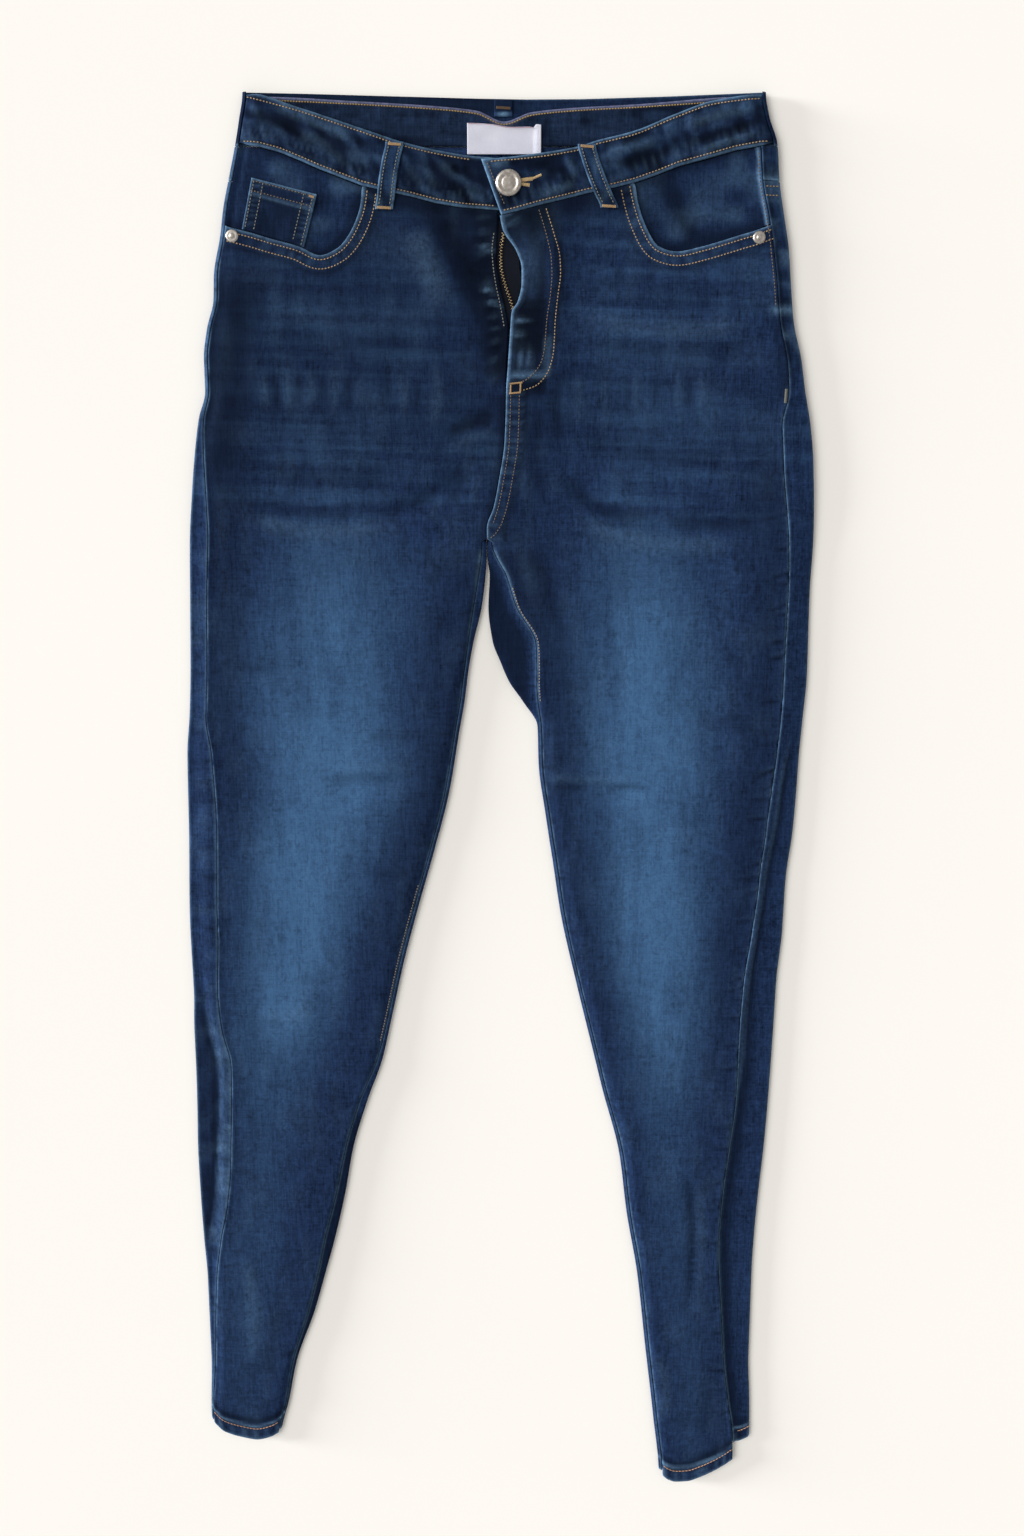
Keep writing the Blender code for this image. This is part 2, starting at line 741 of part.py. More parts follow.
def top_sag(x, y):
    """How far a point of the back waistband sinks."""
    return line(TOP_SAG, x) * smooth((y - TOP_SAG_START) / (BACK_TOP - TOP_SAG_START))


def build_waistband_back(look):
    """The outer ply of the back waistband, with its ends turned up over both sides."""
    half = BACK_COLUMNS[:6]
    rows = []
    for y in (WAIST_SEAM_BACK,) + BAND_SIDE_ROWS + (BACK_TOP,):
        row = [back_pair("left", part, share, y, WALL, 0, BAND_SIDE_INSET) for part, share in half]
        row += [((x, y, SEAT_LIFT), (x, y, SEAT_LIFT + WALL)) for x in BAND_UNDERSIDE]
        row += [back_pair("right", part, share, y, WALL, 0, BAND_SIDE_INSET) for part, share in half[::-1]]
        rows.append([tuple((x, y - top_sag(x, y), z) for x, y, z in pair) for pair in row])
    add_wall("waistband_back", rows, look)


FACING_EDGE = ((-160, 541), (-92, 538), (-40, 535), (-10, 532), (9, 525), (28, 531), (60, 534), (99, 536),
               (177, 541))


def build_waistband_facing(look):
    """The inner ply of the back waistband, whose upper edge dips behind the centre loop."""
    shares = [index / 16 for index in range(17)]
    left_end = FACING_EDGE[0][0]
    right_end = FACING_EDGE[-1][0]

    def place(u, v):
        x = mix(left_end, right_end, u)
        return x, mix(WAIST_SEAM_BACK, curve(FACING_EDGE, x), v)

    height = SEAT_LIFT + WALL + SEAM + WALL
    add_sheet("waistband_facing", shares, (0, 0.5, 1), place, lambda x, y: height, WALL, look)


def band_height(side, x, y):
    """Outer face of the front waistband, whose right end lies over the left one."""
    seat = max(y, BAND_SEAT)
    level = top_height(side, x, seat) - fly_height(side, x, seat) + BAND_PROUD
    if side == "left":
        return level - LEFT_END_DIP * smooth((x - LEFT_END_FROM) / LEFT_END_RUN)
    return level + RIGHT_END_RISE * smooth((RIGHT_END_FROM - x) / RIGHT_END_RUN)


def build_waistband_front(side, look):
    """A front half of the waistband, one folded strip."""
    seam = WAIST_SEAM[side]
    top_ends = (BAND_TOP[side][0][0], BAND_TOP[side][-1][0])

    def place(u, v):
        low_x, low_y = seam[u]
        share = (low_x - seam[0][0]) / (seam[-1][0] - seam[0][0])
        top_x = mix(top_ends[0], top_ends[1], share)
        x = mix(low_x, top_x, v)
        y = mix(low_y, curve(BAND_TOP[side], top_x), v)
        if u == 0:
            y = mix(BAND_SIDE_ROWS[0], BAND_SIDE_ROWS[-1], v)
            x = curve(OUTER[side], y, 1) + inward(side) * (BAND_SIDE_INSET + SEAM / 2)
        return x, y

    def height(x, y):
        return band_height(side, x, y)

    add_sheet("waistband_front_" + side, range(len(seam)), (0, 0.25, 0.5, 0.75, 1), place, height, BAND_WALL,
              look)


# How far the pocket facing runs on beneath the front panel, by the share along the panel's top edge.
FACING_UNDER = ((0.0, -0.3), (0.02, -0.3), (0.045, 5), (0.08, 9), (0.14, 12), (0.5, 12), (0.58, 24))


def build_pocket_facing(side, look):
    """The cloth seen inside the pocket opening, which runs on beneath the front panel."""
    direction = inward(side)
    seam = WAIST_SEAM[side][:POCKET_CORNER + 2]
    outer_top = front_edges(side, WAIST_SEAM_BACK + 1)[0]
    # Each column: x and y on the waist seam, x and y at the lower edge.
    columns = []
    tops = [outer_top] + [x for x, y in seam if (x - outer_top) * direction > 2]
    spare = len(POCKET_EDGE[side]) - len(tops)
    for index in range(spare):
        tops.insert(2 * index + 1, mix(tops[2 * index], tops[2 * index + 1], 0.5))
    for top_x, (share, low_x, low_y) in zip(tops, POCKET_EDGE[side]):
        under = line(FACING_UNDER, share)
        shift = 12 * smooth((share - 0.4) / 0.18)
        columns.append((top_x, line(seam, top_x) - SEAM, low_x + direction * shift, low_y - under))

    def place(u, v):
        top_x, top_y, low_x, low_y = columns[u]
        if u == 0:
            y = (top_y, YOKE_SIDE_ROWS[1], YOKE_SIDE, BACK_SIDE_ROWS[1], low_y)[v]
            return front_edges(side, y)[0], y
        return mix(top_x, low_x, v / 4), mix(top_y, low_y, v / 4)

    def height(x, y):
        inset = (x - front_edges(side, y)[0]) * direction
        return top_height(side, x, y) - (WALL + SEAM) * smooth(inset / 4)

    add_sheet("pocket_facing_" + side, range(len(columns)), range(5), place, height, WALL, look)


BAG_MIDDLE = {"left": -128, "right": 132}
BAG_TOP = 422.0
BAG_BOTTOM = 345.0
BAG_HALF = 40.0         # half of its width at the top
BAG_NARROWING = 12.0    # how much of that is gone at the bottom


def build_pocket_bag(side, look):
    """A plain folded bag that hangs inside, just under the front panel."""
    columns = [index / 8 for index in range(9)]

    def place(u, v):
        half = BAG_HALF - BAG_NARROWING * v * v
        return BAG_MIDDLE[side] + half * (2 * u - 1), mix(BAG_TOP, BAG_BOTTOM, v)

    def height(x, y):
        return top_height(side, x, y) - WALL - SEAM

    add_sheet("pocket_bag_" + side, columns, [k / 6 for k in range(7)], place, height, WALL, look)


COIN_TOP = ((-166, 488), (-121, 477))
COIN_BOTTOM_X = (-174, -131)


def build_coin_pocket(look):
    """The small pocket on the left facing, down to the edge of the front panel."""
    shares = [index / 6 for index in range(7)]
    edge = [(x, y) for share, x, y in POCKET_EDGE["left"][:8]]

    def place(u, v):
        low_x = mix(COIN_BOTTOM_X[0], COIN_BOTTOM_X[1], u)
        top_x = mix(COIN_TOP[0][0], COIN_TOP[1][0], u)
        top_y = mix(COIN_TOP[0][1], COIN_TOP[1][1], u)
        return mix(top_x, low_x, v), mix(top_y, line(edge, low_x) + 0.6, v)

    def height(x, y):
        inset = x - front_edges("left", y)[0]
        return top_height("left", x, y) + (WALL + SEAM) * (1 - smooth(inset / 4))

    add_sheet("coin_pocket", shares, [k / 4 for k in range(5)], place, height, WALL, look)


# ---------------------------------------------------------------- fly and zip

TEETH = ((358, 14), (370, 15), (395, 16), (405, 13.8), (416, 10), (429, 6.8), (438, 6.5), (452.7, 8.5))
FLY_ROWS = (350, 365, 380, 395, 405, 415, 425, 435, 445, 455, 461)
TAPE_TOP = 5.1
TEETH_TOP = 7.0
TEETH_WALL = 1.6
SLIDER = ((8.0, 453, 5.4), (13.8, 462.7, 8.1))
PULL = ((14.1, 455, 6.9), (27, 461, 8.1))
FLY_FACING_TOP = 6.6


def build_fly(denim, cotton, brass, pewter):
    """The shield behind the zip, the zip itself, and the facing under the right front."""
    def shield_place(u, v):
        y = FLY_ROWS[v]
        return mix(-10, 34 - 8 * smooth((370 - y) / 20), u), y

    rows = range(len(FLY_ROWS))
    shield_top = SEAT_LIFT + WALL + SEAM + WALL
    add_sheet("fly_shield", (0, 0.33, 0.67, 1), rows, shield_place, lambda x, y: shield_top, WALL, denim)

    def tape_place(u, v):
        y = FLY_ROWS[v]
        return curve(TEETH, y) + mix(-13, 13, u), y

    add_sheet("zip_tape", (0, 0.5, 1), rows, tape_place, lambda x, y: TAPE_TOP, THIN_WALL, cotton)

    def teeth_place(u, v):
        y = mix(TEETH[0][0], TEETH[-1][0], v)
        return curve(TEETH, y) + mix(-2.5, 2.5, u), y

    add_sheet("zip_teeth", (0, 0.25, 0.75, 1), [k / 14 for k in range(15)], teeth_place,
              lambda x, y: TEETH_TOP, TEETH_WALL, brass)

    def facing_place(u, v):
        y = FLY_ROWS[v]
        beside_slider = 14.5 if y > 446 else 0
        start = max(curve(FLY_EDGE["right"], y), curve(TEETH, y) + 2.5, beside_slider) + 0.8
        end = mix(46, start + 8, smooth((375 - y) / 25))
        return mix(start, end, u), y

    def facing_height(x, y):
        return min(FLY_FACING_TOP, top_height("right", x, y) - WALL - 2 * SEAM)

    add_sheet("fly_facing", (0, 0.33, 0.67, 1), rows, facing_place, facing_height, WALL, denim)
    add_box("zip_slider", *SLIDER, 0.8, pewter)
    add_box("zip_pull", *PULL, 0.4, pewter)


# ---------------------------------------------------------------- trims

# Middle line of each front loop from its lower to its upper end, and its width.
FRONT_LOOPS = {
    "left": ((467, -74.5), (476, -73), (487, -71.5), (500, -69), (511, -66.5)),
    "right": ((468, 82), (477, 78), (488, 73), (500, 68.5), (509.5, 66)),
}
LOOP_WIDTH = 12.5
LOOP_WALL = 1.2
BACK_LOOPS = {"left": -118, "centre": 8.5, "right": 134}
LOOP_LOW = 498.0        # lower end of the back loops
LOOP_TURN = 9.8        # how far the centre one reaches down inside


def build_front_loop(side, look):
    """A belt loop over the front waistband."""
    low = FRONT_LOOPS[side][0][0]
    high = FRONT_LOOPS[side][-1][0]

    def place(u, v):
        y = mix(low, high, v)
        return curve(FRONT_LOOPS[side], y) + LOOP_WIDTH * (u - 0.5), y

    def height(x, y):
        seam = line(WAIST_SEAM[side], x)
        on_band = smooth((y - seam + 5) / 5)
        level = mix(top_height(side, x, y), band_height(side, x, max(y, seam)), on_band)
        arch = 0.7 * math.sin(math.pi * (y - low) / (high - low)) ** 2
        return level + SEAM + LOOP_WALL + arch

    add_sheet("belt_loop_front_" + side, (0, 0.15, 0.5, 0.85, 1), [k / 10 for k in range(11)], place, height,
              LOOP_WALL, look)


def build_back_loops(look):
    """Loops between the surface and the back waistband; the centre one turns over the band's edge."""
    for name in ("left", "right"):
        middle = BACK_LOOPS[name]
        half = LOOP_WIDTH / 2
        top = BACK_TOP - line(TOP_SAG, middle) - SEAM
        low_corners = ((middle - half, LOOP_LOW), (middle + half, LOOP_LOW))
        corners = low_corners + ((middle + half, top), (middle - half, top))
        add_outline("belt_loop_back_" + name, corners, 0.0, LOOP_WALL, look)
    middle = BACK_LOOPS["centre"]
    gap = SEAM
    top = BACK_TOP - line(TOP_SAG, middle - LOOP_WIDTH / 2)
    end = top - LOOP_TURN
    outer_edge = top + gap + LOOP_WALL
    inside = SEAT_LIFT + WALL + gap
    rows = []
    for x in (middle - LOOP_WIDTH / 2, middle + LOOP_WIDTH / 2):
        outer = [(LOOP_LOW, 0.0), (outer_edge - 1.5, 0.0), (outer_edge - 0.4, 0.5), (outer_edge, 1.5),
                 (outer_edge, 3.0), (outer_edge - 0.4, 3.9), (outer_edge - 1.5, inside + LOOP_WALL),
                 (end, inside + LOOP_WALL)]
        inner = [(LOOP_LOW, LOOP_WALL), (top, LOOP_WALL), (top + 0.2, LOOP_WALL + 0.1),
                 (top + gap, LOOP_WALL + 0.3), (top + gap, inside - 0.3),
                 (top + 0.2, inside - 0.1), (top, inside), (end, inside)]
        rows.append([((x, a[0], a[1]), (x, b[0], b[1])) for a, b in zip(outer, inner)])
    add_wall("belt_loop_back_centre", rows, look)


LABEL_CORNERS = ((-16, 503.5), (34, 503.5), (34.5, 522), (9, 521), (-17, 523.5))


def build_label(look):
    """The bare label on the back facing."""
    level = SEAT_LIFT + WALL + SEAM + WALL + SEAM
    add_outline("label", LABEL_CORNERS, level, level + THIN_WALL, look)


# Outline of a back pocket about its middle line, which stands inside the outline of the seat.
BACK_POCKET = ((-62, 440), (62, 434), (60, 320), (0, 298), (-60, 322))
BACK_POCKET_INSIDE = 108.0


def build_back_pockets(look):
    """Two patch pockets under the seat, the lowest faces of the jeans there."""
    for side in ("left", "right"):
        direction = inward(side)
        middle = curve(OUTER[side], 380, 1) + direction * BACK_POCKET_INSIDE
        corners = [(middle - direction * x, y) for x, y in BACK_POCKET]
        add_outline("back_pocket_" + side, corners, 0.0, WALL, look)


BUTTON_PROFILE = ((0, 3.0), (4.6, 3.0), (5.4, 2.5), (6.6, 2.6), (8.4, 2.2), (9.1, 1.3), (8.6, 0), (0, 0))
RIVET_PROFILE = ((0, 1.5), (1.2, 1.5), (1.7, 1.0), (3.2, 1.0), (4.3, 0.5), (4.4, 0), (0, 0))


def build_metal(pewter):
    """The waist button and the two pocket rivets, each seated on the cloth."""
    x, y = BUTTON_AT
    add_turned("button", BUTTON_PROFILE, BUTTON_AT, band_height("right", x, y) + SEAM, 28, pewter)
    for side, (x, y) in RIVETS_AT.items():
        high = max(top_height(side, x + dx, y + dy) for dx in (-4, 0, 4) for dy in (-4, 0, 4))
        add_turned("rivet_" + side, RIVET_PROFILE, (x, y), high + 0.2, 16, pewter)


# ---------------------------------------------------------------- the whole

def main():
    for old in list(bpy.data.objects):
        bpy.data.objects.remove(old, do_unlink=True)
    collection = bpy.data.collections.new(COLLECTION)
    bpy.context.scene.collection.children.link(collection)

    denim = material("denim", DENIM, 0.85)
    inside = material("denim_inside", DENIM_INSIDE, 0.9)
    cotton = material("cotton", COTTON, 0.9)
    brass = material("brass", BRASS, 0.35, 1.0)
    pewter = material("pewter", PEWTER, 0.3, 1.0)
    paper = material("label_cloth", LABEL_WHITE, 0.8)

    for side in ("left", "right"):
        build_front(side, denim)
        build_back(side, denim)
        build_yoke(side, denim)
        build_waistband_front(side, denim)
        build_pocket_facing(side, denim)
        build_pocket_bag(side, cotton)
        build_front_loop(side, denim)
    build_waistband_back(denim)
    build_waistband_facing(inside)
    build_coin_pocket(denim)
    build_fly(denim, cotton, brass, pewter)
    build_back_loops(denim)
    build_label(paper)
    build_back_pockets(denim)
    build_metal(pewter)


main()
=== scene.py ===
"""Looks of the slim fit jeans, laid flat with the front up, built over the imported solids.

Sizes are in millimetres until the points are written to a mesh, and follow the solids' own tables: X runs
across the jeans, Y from the hems to the waistband and Z up. Left and right are as seen from the front.
"""
import math
from functools import partial

import bpy
import numpy as np
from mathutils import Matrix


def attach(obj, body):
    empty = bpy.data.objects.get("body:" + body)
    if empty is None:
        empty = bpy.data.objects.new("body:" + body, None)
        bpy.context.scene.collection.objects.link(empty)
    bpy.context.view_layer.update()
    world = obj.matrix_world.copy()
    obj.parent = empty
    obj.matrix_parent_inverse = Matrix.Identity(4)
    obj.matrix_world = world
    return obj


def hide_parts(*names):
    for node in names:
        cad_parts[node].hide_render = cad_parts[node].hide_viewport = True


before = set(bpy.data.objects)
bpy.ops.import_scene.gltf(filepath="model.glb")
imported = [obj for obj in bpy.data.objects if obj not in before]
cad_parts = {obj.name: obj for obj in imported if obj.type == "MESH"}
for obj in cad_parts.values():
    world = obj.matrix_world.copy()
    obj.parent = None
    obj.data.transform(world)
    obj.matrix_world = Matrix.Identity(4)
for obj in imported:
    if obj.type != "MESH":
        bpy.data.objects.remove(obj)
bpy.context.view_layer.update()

MM = 0.001
MIDDLE_Y = 2.0
WALL, SEAM, BAND_WALL, HEM_WALL, BACK_HEM_WALL, LOOP_WALL = 1.2, 0.3, 2.4, 2.0, 1.6, 1.2
BAND_SIDE_INSET, HEM_DEPTH, EDGE_RADIUS, SEAT_LIFT, PRESSED = 3, 10.5, 1.8, 1.5, 2.0
WAIST_SEAM_BACK, BACK_TOP, YOKE_SIDE, YOKE_CENTRE = 509.0, 544.0, 486.0, 452.0
CROTCH, STRAIGHT_ROW, LAST_ROW = 238.5, 400.0, -440.0
SIDES = ("left", "right")
# The darkest dye and painted shade: 1 is the deep indigo of the seams, more turns black.
BLACKEST = 1.8

# ---- the pattern, as in the solids

# Height on the jeans, outline, seam inside it, where the swell starts inside it, the swell's shoulder.
OUTER = {
    "left": (
        (544, -171, 3, 2, 10), (526, -174, 3, 2, 10), (511, -177, 3, 2, 10), (490, -182, 3, 2, 10),
        (469, -187, 3, 2, 10), (450, -190, 3, 2, 10), (424, -195.5, 3, 2, 12), (407, -196.5, 3, 2, 12),
        (387, -202, 3, 2, 12), (366, -205, 3, 2, 12), (345, -205, 3, 2, 12), (325, -210.5, 4, 2, 14),
        (300, -214.5, 7, 2, 14), (270, -218, 11, 3, 14), (238, -221, 14, 3, 14), (190, -223, 13, 3, 14),
        (140, -225, 13, 3, 14), (110, -227, 13, 3, 14), (80, -230, 19, 3, 14), (20, -231.5, 22, 3, 14),
        (-60, -234, 22, 4, 14), (-110, -233.5, 19.5, 7, 9), (-140, -234.5, 22.5, 12, 7),
        (-170, -234.5, 28.5, 17.5, 6), (-205, -235, 28, 17, 6), (-245, -236, 27, 16, 6),
        (-285, -235.5, 22.5, 13.5, 7), (-320, -234.5, 14.5, 7, 9), (-355, -233, 8, 3, 10),
        (-425, -233, 4, 2, 10), (-480, -235, 2, 1.5, 8), (-502, -235, 2, 1.5, 8),
    ),
    "right": (
        (544, 189, 12, 2, 10), (528, 192, 12, 2, 10), (511, 198, 12, 2, 10), (486, 200.5, 12, 2, 10),
        (461, 205, 11, 2, 10), (442, 208.5, 11, 2, 12), (413, 211.5, 10, 2, 12), (392, 214, 10, 2, 12),
        (366, 220.5, 10.5, 2, 12), (345, 224, 12, 2, 14), (320, 229, 21, 3, 14), (295, 232, 22, 3, 14),
        (238, 234.5, 18.5, 3, 14), (200, 233.5, 16.5, 3, 14), (140, 234, 18, 3, 14), (105, 232, 17, 3, 12),
        (80, 230.5, 17.5, 6, 9), (50, 229.5, 19.5, 10, 6), (20, 228, 21, 13, 6), (-20, 224, 21, 15, 5),
        (-60, 223, 24, 17, 5), (-100, 220, 26, 19, 5), (-140, 219, 27, 22, 5), (-200, 217, 26, 23, 5),
        (-240, 215, 28, 25, 5), (-280, 212, 29, 26, 5), (-315, 210, 29, 26, 5), (-350, 209, 27, 24, 5),
        (-385, 209, 24, 21, 5), (-425, 209, 21, 18, 5), (-465, 211, 18, 15, 5), (-500, 212, 14, 11, 5),
        (-540, 212, 13, 10, 5),
    ),
}
# Height, outline, seam inside it, the swell's shoulder.
INNER = {
    "left": (
        (244, -4.15, 3, 5), (226, -4.2, 4, 5), (214, -5, 5, 5), (190, -8, 6, 5), (165, -14, 4, 5),
        (143, -18, 3, 6), (120, -21, 3, 8), (100, -24.6, 3, 8), (50, -33.2, 3, 10), (6, -44.5, 3, 10),
        (-38, -57, 3, 10), (-83, -69, 3, 10), (-130, -79.5, 3, 8), (-165, -87.5, 4, 6), (-200, -100, 6, 5),
        (-240, -112, 6, 5), (-280, -119.5, 7, 5), (-315, -127.5, 8, 5), (-350, -137, 6, 5),
        (-385, -147, 5, 5), (-430, -162.8, 3, 6), (-465, -170, 2.2, 6), (-502, -178, 1.8, 6),
    ),
    "right": (
        (244, -3.85, 3, 5), (234, -3.8, 4, 5), (226, -3.5, 7, 5), (214, -2, 12, 5), (190, -3, 21, 5),
        (165, 0, 32, 5), (149, 6, 27, 5), (135, 12, 21, 5), (119, 23, 11, 6), (101, 33.5, 3, 8),
        (72, 34.5, 3, 10), (32, 40, 3, 10), (-5, 45.7, 3, 10), (-45, 51.8, 3, 10), (-101, 64.2, 3, 10),
        (-158, 78, 3, 8), (-190, 85.7, 3, 8), (-245, 99.9, 3, 8), (-296, 106.6, 3, 8), (-350, 116, 3, 8),
        (-417, 123.9, 3, 6), (-480, 131.5, 3, 6), (-540, 137.5, 3, 6),
    ),
}
FULL_HEIGHT = ((544, 7.4), (400, 7.2), (300, 7.0), (238, 6.7), (100, 6.3), (-455, 6.0), (-500, 5.0),
               (-540, 4.9))
RISE = ((342, 10), (310, 9), (283, 5), (263, 1), (248, -4), (238, -4))
FLY_EDGE = {
    "left": ((342, 10), (360, 10.6), (388, 12), (399, 10), (418, 6), (435, 3.5), (448, 4), (470, 5)),
    "right": ((342, 10), (360, 11.2), (386, 13), (399, 14), (405, 18), (418, 21), (428, 21), (440, 17),
              (453, 8), (462, 6), (470, 5)),
}
# Share of the panel's width lower down, x, y.
POCKET_EDGE = {
    "left": ((0.0, -187, 457), (0.02, -182, 455.5), (0.045, -176, 454), (0.08, -166, 451.5),
             (0.14, -154, 448), (0.22, -135, 443), (0.32, -120, 437), (0.42, -108, 441.5), (0.5, -98, 453),
             (0.58, -91, 470)),
    "right": ((0.0, 194.5, 457), (0.02, 190, 455.5), (0.045, 183, 453), (0.08, 174, 450.5),
              (0.14, 164, 447.5), (0.22, 148, 443), (0.32, 130, 439.5), (0.42, 117, 443), (0.5, 107, 458),
              (0.58, 102, 472)),
}
WAIST_SEAM = {
    "left": ((-174, 509), (-160, 508), (-146, 504.5), (-132, 499), (-119, 493.5), (-104, 488), (-89, 482.5),
             (-73, 479), (-56, 475.5), (-38, 471), (-22, 468.5), (-8, 467.5), (5, 466.5), (26, 467)),
    "right": ((194, 509), (185, 508.5), (168, 505.5), (148, 500), (130, 495.5), (114, 489.5), (99, 484.5),
              (84, 481), (66, 477.5), (48, 473), (31, 469), (18, 465.5), (7, 463)),
}
POCKET_CORNER = 6
WAIST_SHARES = (0.64, 0.72, 0.80, 0.87, 0.93, 0.97, 1.0)
BAND_TOP = {
    "left": ((-168, 543), (-132, 533.5), (-103, 524.5), (-78, 516.5), (-62, 511.5), (-35, 505.5), (-10, 502),
             (26, 500)),
    "right": ((186, 542), (153, 538), (127, 529.5), (99, 518.5), (74, 512.5), (59, 508), (31, 503.5),
              (-7, 500)),
}
HEM = {
    "left": ((-235, -484), (-230.5, -489), (-223, -495), (-210, -499.5), (-197, -502), (-186, -499.3),
             (-178, -495), (-174, -491.5)),
    "right": ((201, -520), (192, -526), (182, -532.5), (171, -538), (161, -541.5), (151, -542),
              (145, -540), (138, -536)),
}
# The leg ends of the backs, which lie a little higher up.
BACK_HEM = {
    "left": ((-235, -483), (-230.5, -488.5), (-223, -494), (-210, -498), (-197, -500), (-186, -497),
             (-178, -493), (-174, -490)),
    "right": ((216, -492), (213, -498.5), (204, -504), (195, -507), (186, -512.5), (176, -520.5),
              (165, -529.5), (157, -535), (148, -536), (138, -531.5)),
}
# How far the upper edge of the back waistband sags.
TOP_SAG = ((-168, 0), (-120, 1.0), (-60, 2.6), (-2, 4.1), (1, 6.0), (16, 6.2), (19, 4.5), (64, 4.2),
           (120, 2.6), (177, 0.4), (186, 0))
FACING_EDGE = ((-160, 541), (-92, 538), (-40, 535), (-10, 532), (9, 525), (28, 531), (60, 534), (99, 536),
               (177, 541))
FACING_UNDER = ((0.0, -0.3), (0.02, -0.3), (0.045, 5), (0.08, 9), (0.14, 12), (0.5, 12), (0.58, 24))
COIN_TOP = ((-166, 488), (-121, 477))
COIN_BOTTOM_X = (-174, -131)
TEETH = ((358, 14), (370, 15), (395, 16), (405, 13.8), (416, 10), (429, 6.8), (438, 6.5), (452.7, 8.5))
FRONT_LOOPS = {
    "left": ((467, -74.5), (476, -73), (487, -71.5), (500, -69), (511, -66.5)),
    "right": ((468, 82), (477, 78), (488, 73), (500, 68.5), (509.5, 66)),
}
LOOP_WIDTH = 12.5
BACK_LOOPS = {"left": -118, "centre": 8.5, "right": 134}
BUTTON_AT = (12, 484)
RIVETS_AT = {"left": (-181, 449.5), "right": (187, 448.5)}

